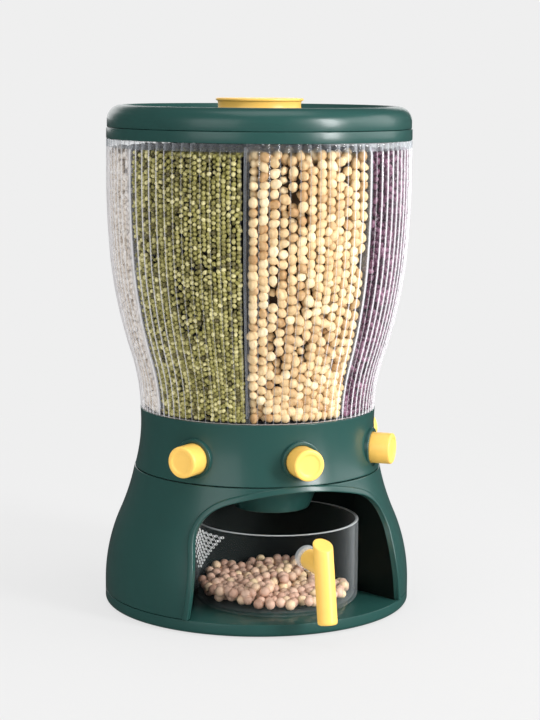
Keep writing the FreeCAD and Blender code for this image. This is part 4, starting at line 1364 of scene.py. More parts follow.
@dataclass
class Hopper:
    """Clear reeded shell round the compartments, and the collar on its mouth."""

    foot_radius: float = 84.3 * MM
    shoulder: float = 142.6 * MM
    foot: float = 143.4 * MM
    low_radius: float = 90.95 * MM
    low: float = 181 * MM
    low_bulge: float = 1.3 * MM
    mid_radius: float = 105.2 * MM
    mid: float = 245.5 * MM
    mid_bulge: float = 1.65 * MM
    top_radius: float = 108.2 * MM
    top: float = 318 * MM
    top_bulge: float = 1.01 * MM
    mouth: float = 328 * MM
    neck: float = 333.3 * MM
    neck_top: float = 339 * MM
    neck_inset: float = 2.3 * MM
    wall: float = 2.6 * MM
    reeds: int = REEDS
    strip: float = STRIP
    strip_drop: float = 0.4
    reed_depth: float = 0.75 * MM
    reed_facets: int = 8
    spigot_foot: float = 141.6 * MM
    spigot_radius: float = 81.3 * MM
    spigot_wall: float = 2.4 * MM
    collar_bottom: float = 333.6 * MM
    collar_top: float = 341.3 * MM
    collar_wall: float = 2 * MM
    collar_bore: float = 100 * MM

    def side(self) -> list[Corner]:
        """Corners of the outer face, upwards.

        Returns:
            The corners, with their bulges.
        """
        return [
            (self.foot_radius, self.shoulder),
            (self.foot_radius, self.foot),
            (self.low_radius, self.low, self.low_bulge),
            (self.mid_radius, self.mid, -self.mid_bulge),
            (self.top_radius, self.top, -self.top_bulge),
            (self.top_radius, self.mouth),
            (self.top_radius, self.neck),
        ]

    def inner_radius(self, height: float) -> float:
        """Radius of the inner face at a height."""
        return radius_at(chain(self.side(), 16), height) - self.wall

    def reed_points(self, radius: float) -> list[Corner]:
        """Plan of one compartment's reeds at a radius, centred on the front, as (x, y) points.

        Args:
            radius: Radius at the crests of the reeds.

        Returns:
            The points, from left to right.
        """
        pitch = (PITCH - self.strip) / self.reeds
        start = -PITCH / 2 + self.strip / 2
        angles = [(-PITCH / 2, 0.0)]
        for reed in range(self.reeds):
            for facet in range(self.reed_facets + (reed == self.reeds - 1)):
                share = facet / self.reed_facets
                angles.append((start + pitch * (reed + share), (2 * share - 1) ** 2))
        angles.append((PITCH / 2, 0.0))
        points = []
        for index, (angle, drop) in enumerate(angles):
            reach = radius - self.reed_depth * drop
            if index in (0, len(angles) - 1):
                reach = radius - self.reed_depth * self.strip_drop
            points.append((reach * math.sin(angle), -reach * math.cos(angle)))
        return points

    def build_shell(self) -> None:
        """Reeded outer face and smooth inner face, bridged at both ends."""
        profile = chain(self.side(), 14)
        outer = drawn(
            "hopper_wall", self.reed_points(profile[0][0]), lambda point: (point[0], point[1], profile[0][1])
        )
        with editing(outer):
            bpy.ops.mesh.spin(
                steps=DIVISIONS, angle=2 * math.pi, dupli=True, center=(0.0, 0.0, 0.0), axis=(0.0, 0.0, 1.0)
            )
            bpy.ops.mesh.select_all(action="SELECT")
            bpy.ops.mesh.remove_doubles(threshold=MERGE)
            raise_loop(profile)
        inside = self.inner_profile(profile)
        nothing_selected()
        bpy.ops.mesh.primitive_circle_add(
            vertices=DIVISIONS * (self.reeds * self.reed_facets + 2),
            radius=inside[0][0],
            location=(0, 0, inside[0][1]),
        )
        inner = named("hopper_inside")
        apply_place(inner)
        with editing(inner):
            raise_loop(inside)
        top_step = [
            (self.top_radius, self.neck),
            (self.top_radius - self.neck_inset, self.neck),
            (self.top_radius - self.neck_inset, self.neck_top),
        ]
        foot_step = [
            (self.foot_radius, self.shoulder),
            (self.spigot_radius, self.shoulder),
            (self.spigot_radius, self.spigot_foot),
        ]
        for steps in (top_step, foot_step):
            select_level(outer, steps[0][1])
            with editing_kept(outer, "EDGE"):
                raise_loop(steps)
        shell = joined([outer, inner], "hopper_wall")
        for level in (self.neck_top, self.spigot_foot):
            select_level(shell, level)
            with editing_kept(shell, "EDGE"):
                bpy.ops.mesh.bridge_edge_loops()
        with editing(shell):
            seal()
        self.give_finishes(shell)
        smooth(shell, 42.0)
        dress(shell, None, Slot.HOPPER, "carousel", "hopper_shell")

    def inner_profile(self, profile: Sequence[Corner]) -> list[Corner]:
        """Levels of the smooth inner face, from the spigot to the neck.

        Args:
            profile: Points of the outer face as (radius, height).

        Returns:
            The levels, as (radius, height).
        """
        ledge = self.neck - 2 * self.wall
        bore = self.top_radius - 1.5 * self.wall
        foot = (self.spigot_radius - self.spigot_wall, self.spigot_foot)
        levels = [point for point in (foot, *inwards(profile[2:], self.wall)) if point[1] < ledge]
        return [
            *levels,
            (self.top_radius - self.wall, ledge),
            (bore, self.neck - self.wall),
            (bore, self.neck_top),
        ]

    def give_finishes(self, shell: bpy.types.Object) -> None:
        """Reeded outside, plain inside, and paler and less see-through outside at the mouth.

        Args:
            shell: The shell.
        """
        shell.data.materials.clear()
        for finish in (HOPPER_CLEAR, HOPPER_INSIDE, HOPPER_MOUTH):
            shell.data.materials.append(FINISHES.of(finish))
        for polygon in shell.data.polygons:
            outwards = polygon.center.x * polygon.normal.x + polygon.center.y * polygon.normal.y
            polygon.material_index = int(outwards < 0)
            # Paler, less see-through finish on the outside above the mouth.
            if outwards > 0 and polygon.center.z > self.mouth:
                polygon.material_index = 2

    def build_collar(self) -> None:
        """Collar under the lid."""
        wall = self.top_radius - self.collar_wall
        collar = lathe(
            "mouth_collar",
            [
                (wall, self.collar_bottom),
                (self.top_radius, self.collar_bottom),
                (self.top_radius, self.collar_top),
                (self.collar_bore, self.collar_top),
                (self.collar_bore, self.neck_top),
                (wall, self.neck_top),
                (wall, self.collar_bottom),
            ],
            steps=360,
        )
        soften(collar, 0.35 * MM)
        smooth(collar)
        dress(collar, GREEN, Slot.GREEN, "carousel", "top_collar")

    def build(self) -> None:
        """Build the shell and the collar."""
        self.build_shell()
        self.build_collar()


@dataclass
class Lid:
    """Round lid with its rolled rim, recess and knob."""

    radius: float = 107.7 * MM
    bottom: float = 341.6 * MM
    side_top: float = 346 * MM
    top: float = 356.8 * MM
    rim_radius: float = 99 * MM
    rim_inner: float = 97.2 * MM
    round_bulge: float = 2.6 * MM
    recess_radius: float = 94 * MM
    recess: float = 353.5 * MM
    wall: float = 2.4 * MM
    knob_neck: float = 29.8 * MM
    knob_radius: float = 31 * MM
    neck_top: float = 360.2 * MM
    knob_top: float = 362 * MM
    waist: float = 0.5 * MM
    edge: float = 0.3 * MM

    def build_cover(self) -> None:
        """The lid's cover."""
        under = self.recess - self.wall
        cover = lathe(
            "lid_dome",
            [
                (0.0, under),
                (self.recess_radius + self.wall / 2, under),
                (self.rim_inner, self.top - self.wall),
                (self.rim_radius, self.top - self.wall),
                (self.radius - self.wall, self.side_top, self.round_bulge),
                (self.radius - self.wall, self.bottom),
                (self.radius, self.bottom),
                (self.radius, self.side_top),
                (self.rim_radius, self.top, -self.round_bulge),
                (self.rim_inner, self.top),
                (self.recess_radius, self.recess),
                (0.0, self.recess),
            ],
            steps=360,
            arc_steps=16,
        )
        soften(cover, self.edge)
        smooth(cover)
        dress(cover, GREEN, Slot.GREEN, "lid", "lid_cover")

    def build_knob(self) -> None:
        """The knob in the middle of the recess."""
        knob = lathe(
            "lid_grip",
            [
                (0.0, self.recess),
                (self.knob_neck, self.recess),
                (self.knob_neck, self.neck_top, self.waist),
                (self.knob_radius, self.neck_top),
                (self.knob_radius, self.knob_top),
                (0.0, self.knob_top),
            ],
            steps=192,
        )
        soften(knob, 0.55 * MM)
        smooth(knob)
        dress(knob, YELLOW, Slot.YELLOW, "lid", "lid_knob")

    def build(self) -> None:
        """Build the lid."""
        self.build_cover()
        self.build_knob()


@dataclass
class Cup:
    """Clear cup with a sieve in its wall and an upright handle."""

    forward: float = CUP_FORWARD
    radius: float = CUP_RADIUS
    bottom: float = 9.9 * MM
    top: float = 68.1 * MM
    wall: float = CUP_WALL
    hollow: float = 0.6 * MM
    hollow_edge: float = 5 * MM
    hollow_slope: float = 1 * MM
    foot_inset: float = 5.5 * MM
    corner: float = 5 * MM
    corner_bulge: float = 1.4 * MM
    rim_highlight_reach: float = 0.45 * MM
    hole_rows: int = 10
    hole_pitch: float = 2.84 * MM
    hole_radius: float = 0.9 * MM
    hole_drop: float = 5.4 * MM
    pin_length: float = 20 * MM
    boss_height: float = 52.5 * MM
    socket_bore: float = 7.05 * MM
    socket_wall: float = 1.2 * MM
    socket_length: float = 7 * MM
    grip_radius: float = 6.8 * MM
    grip_round: float = 1.8 * MM
    grip_forward: float = 31.7 * MM
    grip_above: float = 15.4 * MM
    grip_below: float = 38.2 * MM
    grip_tilt: float = math.radians(10.9)
    grip_slant: float = math.radians(32)
    arm_radius: float = 7 * MM
    voxel: float = 0.45 * MM

    def build_body(self) -> None:
        """The cup, its sieve and the socket of the handle."""
        foot = self.radius - self.foot_inset
        corner_top = self.bottom + self.corner
        cup = lathe(
            "cup_bowl",
            [
                (0.0, self.bottom + self.hollow),
                (foot - self.hollow_edge, self.bottom + self.hollow),
                (foot - self.hollow_edge + self.hollow_slope, self.bottom),
                (foot, self.bottom),
                (self.radius, corner_top, -self.corner_bulge),
                (self.radius, self.top),
                (self.radius - self.wall, self.top),
                (self.radius - self.wall, corner_top + self.wall / 2),
                (foot - self.wall / 2, self.bottom + self.wall, self.corner_bulge),
                (0.0, self.bottom + self.wall),
            ],
            steps=240,
        )
        soften(cup, 0.5 * MM)
        combine(cup, self.handle_socket(), "UNION")
        combine(cup, self.sieve_cutter())
        cup.data.materials.clear()
        for finish in (CUP_CLEAR, SIEVE_HIGHLIGHT, CUP_RIM_HIGHLIGHT):
            cup.data.materials.append(FINISHES.of(finish))
        self.paint_highlights(cup)
        apply_place(cup, Matrix.Translation((0, -self.forward, 0)))
        smooth(cup, 38.0)
        dress(cup, None, Slot.CUP, "cup", "cup_body")

    def handle_socket(self) -> bpy.types.Object:
        """The round socket on the front of the cup that holds the handle's arm.

        Returns:
            The socket, standing in the wall of the cup.
        """
        nothing_selected()
        bpy.ops.mesh.primitive_cylinder_add(
            radius=self.socket_bore + self.socket_wall,
            depth=self.socket_length + self.wall / 2,
            vertices=72,
            location=(0, 0, self.radius + self.socket_length / 2 - self.wall / 4),
        )
        socket = named("socket")
        with editing(socket):
            bpy.ops.mesh.select_all(action="DESELECT")
        front = self.radius + self.socket_length
        for polygon in socket.data.polygons:
            polygon.select = polygon.normal.z > 0.5
        apply_place(socket)
        with editing_kept(socket, "FACE"):
            bpy.ops.mesh.inset(thickness=self.socket_wall)
            bpy.ops.mesh.extrude_region_move(
                TRANSFORM_OT_translate={"value": (0.0, 0.0, self.radius + 0.5 * MM - front)}
            )
        soften(socket, 0.3 * MM)
        apply_place(socket, lying((0, 0, self.boss_height)))
        return socket

    def hole_places(self) -> list[Corner]:
        """Centres of the sieve's staggered holes as (y, z), in a triangle that points down.

        Returns:
            The centres.
        """
        places = []
        for row in range(self.hole_rows):
            height = self.top - self.hole_drop - self.hole_pitch * row
            for column in range(self.hole_rows - row):
                side = 1 if (row + column) % 2 == 0 else -1
                places.append((self.hole_pitch * (column + 0.5) * side, height))
        return places

    def sieve_cutter(self) -> bpy.types.Object:
        """Pins that cut the sieve's holes, modelled once.

        Returns:
            All the pins as one piece.
        """
        nothing_selected()
        bpy.ops.mesh.primitive_cylinder_add(
            radius=self.hole_radius,
            depth=self.pin_length,
            vertices=16,
            location=(-self.radius, 0, 0),
            rotation=(0, math.pi / 2, 0),
        )
        pin = named("pin")
        apply_place(pin)
        pins = [
            copy_of(pin, f"pin_{index}", Matrix.Translation((0, place[0], place[1])))
            for index, place in enumerate(self.hole_places())
        ]
        bpy.data.objects.remove(pin)
        return joined(pins, "pins")

    def paint_highlights(self, cup: bpy.types.Object) -> None:
        """Give the walls of the sieve's holes their painted highlight, and the rim and the socket the rim's
        painted highlight.

        Args:
            cup: The cup, with its three materials.
        """
        places = np.array(self.hole_places())
        for polygon in cup.data.polygons:
            centre = polygon.center
            beyond = math.hypot(centre.x, centre.y) - self.radius
            # Painted highlight on the rim and the socket.
            if centre.z > self.top - self.rim_highlight_reach or beyond > self.rim_highlight_reach:
                polygon.material_index = 2
                continue
            if centre.x > 0 or abs(polygon.normal.x) > 0.5:
                continue
            # Painted highlight on the walls of the sieve's holes.
            gap = np.hypot(places[:, 0] - centre.y, places[:, 1] - centre.z).min()
            if gap < self.hole_radius * 1.02:
                polygon.material_index = 1

    def build_handle(self) -> None:
        """The yellow grip and its arm, melted into one another."""
        top = self.grip_above + self.grip_radius * math.tan(self.grip_slant)
        bottom = -self.grip_below
        grip = lathe(
            "grip",
            [
                (0.0, bottom),
                (self.grip_radius - self.grip_round, bottom, 0.0),
                (self.grip_radius, bottom + self.grip_round, -0.5 * MM),
                (self.grip_radius, top + MM),
                (0.0, top + MM),
            ],
            steps=96,
        )
        with editing(grip):
            bpy.ops.mesh.bisect(
                plane_co=(0.0, 0.0, self.grip_above),
                plane_no=(0.0, -math.sin(self.grip_slant), math.cos(self.grip_slant)),
                clear_outer=True,
                use_fill=True,
            )
        nothing_selected()
        tilt = Matrix.Rotation(-self.grip_tilt, 4, "X")
        place = Matrix.Translation((0, -(self.forward + self.radius + self.grip_forward), self.boss_height))
        apply_place(grip, place @ tilt)
        reach = self.grip_forward - 0.5 * MM
        bpy.ops.mesh.primitive_cylinder_add(radius=self.arm_radius, depth=reach, vertices=96)
        arm = named("arm")
        centre = -(self.forward + self.radius + self.grip_forward - reach / 2)
        apply_place(arm, lying((0, centre, self.boss_height)))
        combine(grip, arm, "UNION")
        grip.name = "cup_grip"
        grip.data.name = "cup_grip"
        apply_modifier(grip, "REMESH", mode="VOXEL", voxel_size=self.voxel)
        apply_modifier(grip, "SMOOTH", factor=0.5, iterations=5)
        with editing(grip):
            seal()
        smooth(grip, 180.0)
        dress(grip, YELLOW, Slot.YELLOW, "cup", "cup_handle")

    def build(self) -> None:
        """Build the cup and its handle."""
        self.build_body()
        self.build_handle()


@dataclass(frozen=True)
class Grain:
    """One kind of dry grain."""

    name: str
    coat: SeedCoat
    length: float
    width: float
    beak: float = 0.0
    column: float = 0.0
    room: float = 0.97
    fill: float = 326 * MM

    @property
    def size(self) -> float:
        """Mean of its length and width."""
        return (self.length * self.width) ** 0.5


CHICKPEA = Grain(
    "chickpea",
    SeedCoat("chickpea_skin", (0.42, 0.23, 0.09), (0.75, 0.55, 0.3), (0.92, 0.79, 0.54), 0.55),
    7.6 * MM, 6.7 * MM, beak=0.2, column=1.0,
)
MUNG = Grain(
    "mung",
    SeedCoat("mung_skin", (0.07, 0.055, 0.03), (0.36, 0.33, 0.1), (0.85, 0.78, 0.42), 0.3),
    3.8 * MM, 3.1 * MM, column=1.0, room=1.04,
)
KIDNEY = Grain(
    "purple_bean",
    SeedCoat("purple_skin", (0.028, 0.008, 0.02), (0.1, 0.03, 0.065), (0.3, 0.14, 0.22), 0.3),
    6.4 * MM, 4.3 * MM, column=0.5,
)
BARLEY = Grain(
    "pearl_barley",
    SeedCoat("barley_skin", (0.5, 0.42, 0.34), (0.74, 0.67, 0.6), (0.88, 0.84, 0.8), 0.6),
    5.6 * MM, 3.8 * MM,
)
ADZUKI = Grain(
    "adzuki",
    SeedCoat("adzuki_skin", (0.1, 0.012, 0.01), (0.24, 0.035, 0.025), (0.4, 0.12, 0.08), 0.34),
    5.8 * MM, 4.3 * MM, fill=305 * MM,
)
SOY = Grain(
    "soybean",
    SeedCoat("soybean_skin", (0.52, 0.3, 0.08), (0.76, 0.52, 0.2), (0.87, 0.7, 0.4), 0.42),
    7 * MM, 6.2 * MM, fill=308 * MM,
)
MIXED = Grain(
    "mixed_bean",
    SeedCoat("mixed_skin", (0.48, 0.27, 0.19), (0.72, 0.48, 0.36), (0.9, 0.71, 0.42), 0.5, 0.06 * MM),
    7.4 * MM, 7.0 * MM,
)


@dataclass(frozen=True)
class Compartment:
    """One compartment: where it starts, how many divisions it takes and what it holds."""

    first: int
    divisions: int
    grain: Grain

    @property
    def middle(self) -> float:
        """Turn of its middle from the front."""
        return PITCH * (self.first + (self.divisions - 1) / 2)

    @property
    def half(self) -> float:
        """Half of its angle."""
        return PITCH * self.divisions / 2


CONTENTS = (
    Compartment(-1, 1, MUNG),
    Compartment(0, 1, CHICKPEA),
    Compartment(1, 1, KIDNEY),
    Compartment(2, 1, ADZUKI),
    Compartment(3, 1, SOY),
    Compartment(4, 2, BARLEY),
)


@dataclass
class Pantry:
    """Grain in the compartments and in the cup.

    Attributes:
        hopper: The hopper that it fills.
        cup: The cup that it fills.
        seed: Start of the chances.
        bottom: Height of the lowest grain.
        column_radius: Radius of the column that the dividers meet at.
        vane_half: Half of a divider's thickness.
        first_layer: Place of the first layer behind the wall, in widths of a seed.
        layer_step: Distance from layer to layer, in widths of a seed.
        relax_turns: How often crowded seeds are pushed apart.
        packing: Area that one seed of a layer takes, in squares of its size.
        to_reed: How strongly seeds in columns are drawn to the middles of the reeds.
        settling: How far a seed sinks in each turn, in sizes.
        wall_jitter: Unevenness of a layer behind the wall, in sizes.
        top_jitter: Unevenness of the seeds on top, in sizes.
        mound: How much higher the grain lies at the column than at the wall.
        core_gap: Depth of the core behind the last layer, in widths of a seed.
        core_foot: How much narrower the core is at its foot.
        vane_slack: Room between the core and a divider.
        heap: Height of the heap at the back of the cup.
        heap_middle: Height of the heap in the middle, as a share of that at the back.
        heap_lean: How much lower the heap is at the right than in the middle.
        heap_inset: How far the lowest layer keeps from the cup's rounded foot.
        heap_layer: Distance from layer to layer of the heap, in lengths of a seed.
        heap_tint: How much lighter the beans get towards the right.
        chances: Source of all that is uneven.
    """

    hopper: Hopper
    cup: Cup
    seed: int = 7
    bottom: float = 143 * MM
    column_radius: float = 13.5 * MM
    vane_half: float = 1.1 * MM
    first_layer: float = 0.52
    layer_step: float = 0.72
    relax_turns: int = 40
    packing: float = 0.88
    to_reed: float = 0.2
    settling: float = 0.02
    wall_jitter: float = 0.04
    top_jitter: float = 0.16
    mound: float = 2 * MM
    core_gap: float = 0.45
    core_foot: float = 4 * MM
    vane_slack: float = 2.2 * MM
    heap: float = 9.5 * MM
    heap_middle: float = 0.66
    heap_lean: float = 3 * MM
    heap_inset: float = 3.2 * MM
    heap_layer: float = 0.74
    heap_tint: float = 0.22
    chances: np.random.Generator = field(init=False)

    def __post_init__(self) -> None:
        """Seed the chances once, so that each run gives the same grain."""
        self.chances = np.random.default_rng(self.seed)

    def relaxed(
        self, points: np.ndarray, gap: float, low: np.ndarray, high: np.ndarray, pull: Any
    ) -> np.ndarray:
        """Push crowded points of a plane apart.

        Args:
            points: Places as (across, up) rows.
            gap: Wanted distance.
            low: Least across and up.
            high: Greatest across and up.
            pull: Moves the points a little in each turn.

        Returns:
            The new places.
        """
        for _ in range(self.relax_turns):
            points = points[np.argsort(points[:, 1])]
            moves = np.zeros_like(points)
            for step in range(1, len(points)):
                apart = points[step:] - points[:-step]
                if apart[:, 1].min() > gap:
                    break
                distance = np.hypot(apart[:, 0], apart[:, 1]) + 1e-9
                push = 0.35 * apart * (np.clip(gap - distance, 0.0, None) / distance)[:, None]
                moves[step:] += push
                moves[:-step] -= push
            points = np.clip(pull(points + moves), low, high)
        return points

    def seed_shape(self, grain: Grain, facets: int) -> tuple[np.ndarray, np.ndarray]:
        """Points and faces of one seed, modelled once.

        Args:
            grain: The kind of grain.
            facets: How finely the seed is divided.

        Returns:
            The points, and the faces as numbers of points.
        """
        nothing_selected()
        bpy.ops.mesh.primitive_ico_sphere_add(subdivisions=facets, radius=0.5)
        seed = named("seed")
        with editing(seed):
            bpy.ops.transform.resize(value=(grain.length, grain.width, grain.width))
        vertices = np.array([vertex.co[:] for vertex in seed.data.vertices])
        if grain.beak:
            ahead = np.clip(vertices[:, 0] / (grain.length / 2), 0.0, 1.0)
            vertices[:, 0] += grain.beak * grain.width * ahead**6
            groove = np.exp(-((vertices[:, 1] / (0.18 * grain.width)) ** 2))
            vertices[:, 2] -= 0.25 * groove * np.clip(vertices[:, 2], 0.0, None)
        faces = np.array([polygon.vertices[:] for polygon in seed.data.polygons])
        bpy.data.objects.remove(seed)
        return vertices, faces

    def scatter(
        self, name: str, grain: Grain, places: np.ndarray, lean: float = 0.0, facets: int = 2
    ) -> bpy.types.Object:
        """One mesh of many seeds, each turned and tinted on its own.

        Args:
            name: The piece's name.
            grain: The kind of grain.
            places: Centres as (x, y, z) rows.
            lean: How much lighter the seeds get towards the right.
            facets: How finely each seed is divided.

        Returns:
            The piece.
        """
        vertices, faces = self.seed_shape(grain, facets)
        count = len(places)
        turns = self.chances.uniform(-math.pi, math.pi, (count, 3))
        scales = self.chances.normal(1.0, 0.05, count)
        across = places[:, 0] / np.abs(places[:, 0]).max()
        tints = np.clip(self.chances.normal(0.5, 0.27, count) + lean * across, 0.0, 1.0)
        cloud = []
        for place, turn, scale in zip(places, turns, scales):
            matrix = np.array(Euler(turn).to_matrix()) * scale
            cloud.append(vertices @ matrix.T + place)
        shifts = np.arange(count)[:, None, None] * len(vertices)
        piece = meshed(name, np.concatenate(cloud), (faces[None] + shifts).reshape(-1, faces.shape[1]))
        attribute = piece.data.attributes.new(TINT, "FLOAT", "POINT")
        attribute.data.foreach_set("value", np.repeat(tints, len(vertices)).astype(np.float32))
        smooth(piece, 180.0)
        return piece

    def wall_layer(self, place: Compartment, layer: int) -> np.ndarray:
        """Centres of one layer of seeds behind the clear wall of a compartment.

        Args:
            place: The compartment.
            layer: Number of the layer, from 0 at the wall.

        Returns:
            The centres as (x, y, z) rows.
        """
        grain = place.grain
        middle = (self.hopper.inner_radius(self.bottom) + self.hopper.inner_radius(grain.fill)) / 2
        depth = grain.width * (self.first_layer + self.layer_step * layer)
        radius = middle - depth
        size = grain.size
        half = radius * place.half - self.vane_half - size / 2
        height = grain.fill - self.bottom - size / 2
        area = 2 * (half + size / 2) * (height + size / 2)
        count = int(area / (size * size * self.packing * grain.room**2))
        points = self.chances.uniform((-half - size / 2, 0.0), (half + size / 2, height), (count, 2))
        reed_pitch = radius * (PITCH - self.hopper.strip) / self.hopper.reeds
        columns = max(1, round(reed_pitch / grain.width))
        pitch = reed_pitch / columns
        offset = 0.5 * ((self.hopper.reeds * columns * place.divisions) % 2)

        def pull(points: np.ndarray) -> np.ndarray:
            """Draw the seeds towards the middles of the reeds and down.

            Args:
                points: Places as (across, up) rows.

            Returns:
                The new places.
            """
            target = (np.floor(points[:, 0] / pitch + offset) + 0.5 - offset) * pitch
            points = points.copy()
            points[:, 0] += self.to_reed * grain.column * (target - points[:, 0])
            points[:, 1] -= self.settling * size
            return points

        low = np.array((-half, 0.0))
        points = self.relaxed(points, size * grain.room, low, np.array((half, height)), pull)
        heights = self.bottom + size / 2 + points[:, 1] * (height / max(points[:, 1].max(), MM))
        wall = np.array([self.hopper.inner_radius(value) for value in heights]) - depth
        wall += self.chances.normal(0.0, self.wall_jitter * size, len(points))
        angles = place.middle + points[:, 0] / radius
        return np.stack((wall * np.sin(angles), -wall * np.cos(angles), heights), axis=1)

    def top_layer(self, place: Compartment) -> np.ndarray:
        """Centres of the seeds on top of a compartment's grain.

        Args:
            place: The compartment.

        Returns:
            The centres as (x, y, z) rows.
        """
        grain = place.grain
        size = grain.size
        outer = self.hopper.inner_radius(grain.fill) - size
        inner = self.column_radius + size / 2
        area = place.half * (outer**2 - inner**2)
        count = int(1.5 * area / (size * size * 0.8))
        radii = np.sqrt(self.chances.uniform(inner**2, outer**2, count))
        sides = self.chances.uniform(-1.0, 1.0, count) * (place.half - (self.vane_half + size / 2) / radii)
        points = np.stack((radii * np.sin(sides), -radii * np.cos(sides)), axis=1)
        turned = np.array(Matrix.Rotation(place.middle, 2)).T
        points = self.relaxed(points, size * 0.9, points.min(axis=0), points.max(axis=0), lambda rows: rows)
        keep = np.hypot(points[:, 0], points[:, 1]) < outer
        keep &= np.abs(np.arctan2(points[:, 0], -points[:, 1])) < place.half - self.vane_half / outer - 0.02
        points = points[keep] @ turned
        mound = self.mound * (1 - np.hypot(points[:, 0], points[:, 1]) / outer)
        jitter = self.chances.normal(0.0, self.top_jitter * size, len(points))
        heights = grain.fill + mound + jitter - size * 0.3
        return np.column_stack((points, heights))

    def core(self, place: Compartment) -> bpy.types.Object:
        """The grain behind the outer layers, as one solid whose faces the seeds hide; it is painted in a far
        darker copy of the grain's colour, as painted shade for the gaps.

        Args:
            place: The compartment.

        Returns:
            The solid.
        """
        grain = place.grain
        inset = grain.width * (self.first_layer + self.layer_step) + grain.width * self.core_gap
        profile = [
            (self.column_radius, grain.fill - grain.width),
            (self.column_radius, self.bottom - MM),
            (self.hopper.inner_radius(self.bottom) - inset - self.core_foot, self.bottom - MM),
        ]
        for share in np.linspace(0.0, 1.0, 12):
            height = float(self.bottom + (grain.fill - grain.width - self.bottom) * share)
            profile.append((self.hopper.inner_radius(height) - inset, height))
        core = drawn(
            f"{grain.name}_core",
            [*profile, profile[0]],
            lambda point: (0.0, -point[0], point[1]),
        )
        slack = self.vane_slack / self.hopper.mid_radius + self.vane_half / self.hopper.low_radius
        apply_place(core, about_z(place.middle - place.half + slack))
        with editing(core):
            bpy.ops.mesh.remove_doubles(threshold=MERGE)
            bpy.ops.mesh.edge_face_add()
            bpy.ops.mesh.spin(
                steps=12 * place.divisions,
                angle=-2 * (place.half - slack),
                center=(0.0, 0.0, 0.0),
                axis=(0.0, 0.0, 1.0),
            )
            seal()
        smooth(core)
        return core

    def fill_compartments(self) -> None:
        """Fill each compartment with its own grain."""
        for place in CONTENTS:
            grain = place.grain
            outer = np.concatenate((self.wall_layer(place, 0), self.top_layer(place)))
            seeds = self.scatter(f"{grain.name}s", grain, outer)
            dress(seeds, grain.coat, Slot.PALE, "carousel")
            behind = self.scatter(f"{grain.name}s_behind", grain, self.wall_layer(place, 1), facets=1)
            dress(behind, grain.coat, Slot.PALE, "carousel")
            core = self.core(place)
            # Painted shade: the core takes the grain's darkest colour at 0.15, standing in for the shade
            # deep in the gaps between the seeds.
            shadow = Moulded(f"{grain.name}_depth", shade(grain.coat.dark, 0.15), roughness=0.8, mottle=0.3)
            dress(core, shadow, Slot.PALE, "carousel")

    def heap_height(self, x: np.ndarray, y: np.ndarray) -> np.ndarray:
        """Height of the grain over the cup's floor.

        Args:
            x: Places across the cup.
            y: Places from front to back.

        Returns:
            The heights.
        """
        reach = self.cup.radius - self.cup.wall
        slope = (1 - self.heap_middle) * y / reach
        return self.heap * (self.heap_middle + slope) - self.heap_lean * x / reach

    def fill_cup(self) -> None:
        """A loose heap that slopes down to the front of the cup."""
        size = MIXED.length
        reach = self.cup.radius - self.cup.wall - size / 2
        places = []
        layer = 0
        while layer * size * self.heap_layer < self.heap + size:
            radius = reach if layer else reach - self.heap_inset
            count = int(math.pi * radius**2 / (size * size * 0.84))
            radii = radius * np.sqrt(self.chances.uniform(0.0, 1.0, count))
            turns = self.chances.uniform(0.0, 2 * math.pi, count)
            points = np.stack((radii * np.cos(turns), radii * np.sin(turns)), axis=1)

            def pull(rows: np.ndarray, limit: float = radius) -> np.ndarray:
                """Keep the seeds inside the cup.

                Args:
                    rows: Places as (x, y) rows.
                    limit: Greatest distance from the middle.

                Returns:
                    The new places.
                """
                away = np.hypot(rows[:, 0], rows[:, 1])
                return rows * np.minimum(1.0, limit / np.maximum(away, MM))[:, None]

            edge = np.full(2, radius)
            points = self.relaxed(points, size * 0.96, -edge, edge, pull)
            points = pull(points + self.chances.normal(0.0, 0.1 * size, points.shape))
            base = layer * size * self.heap_layer
            keep = base <= self.heap_height(points[:, 0], points[:, 1])
            heights = self.cup.bottom + self.cup.wall + size / 2 + base
            rows = points[keep]
            jitter = self.chances.uniform(0.0, 0.45 * size, len(rows))
            places.append(np.column_stack((rows[:, 0], rows[:, 1] - self.cup.forward, heights + jitter)))
            layer += 1
        heap = self.scatter("cup_beans", MIXED, np.concatenate(places), self.heap_tint)
        dress(heap, MIXED.coat, Slot.PALE, "cup")

    def build(self) -> None:
        """Fill the hopper and the cup."""
        self.fill_compartments()
        self.fill_cup()


def dress_frame(frame: dict[str, Any]) -> None:
    """Give every node of the frame that still shows its finish.
    """
    for row in frame["record"]["subparts"]:
        node = frame["nodes"][row["node"]]
        finish = FINISH_OF_NODE.get(row["node"], FINISH_OF_SLOT[Slot(row["material_slot"])])
        for slot in node.material_slots:
            slot.material = FINISHES.of(finish)
        LOG.info("%s: %s", row["node"], finish.name)


@dataclass(frozen=True)
class SoftBox:
    """One soft lamp: where it stands in metres, its width and height, and its power in watts."""

    name: str
    place: Corner
    size: Corner
    power: float


SOFT_BOXES = (
    SoftBox("key", (1.08, -1.7, 0.8), (0.45, 1.3), 44.0),
    SoftBox("window", (2.1, -0.5, 0.9), (1.8, 1.5), 20.0),
    SoftBox("side", (-1.9, -1.4, 0.8), (1.6, 1.6), 12.0),
    SoftBox("top", (0.0, -0.3, 2.0), (1.2, 1.2), 7.0),
    SoftBox("rear", (0.5, 2.6, 0.8), (2.6, 1.0), 14.0),
)


def grey(level: float) -> tuple[float, float, float, float]:
    """A grey as a colour socket takes it."""
    return (level, level, level, 1.0)


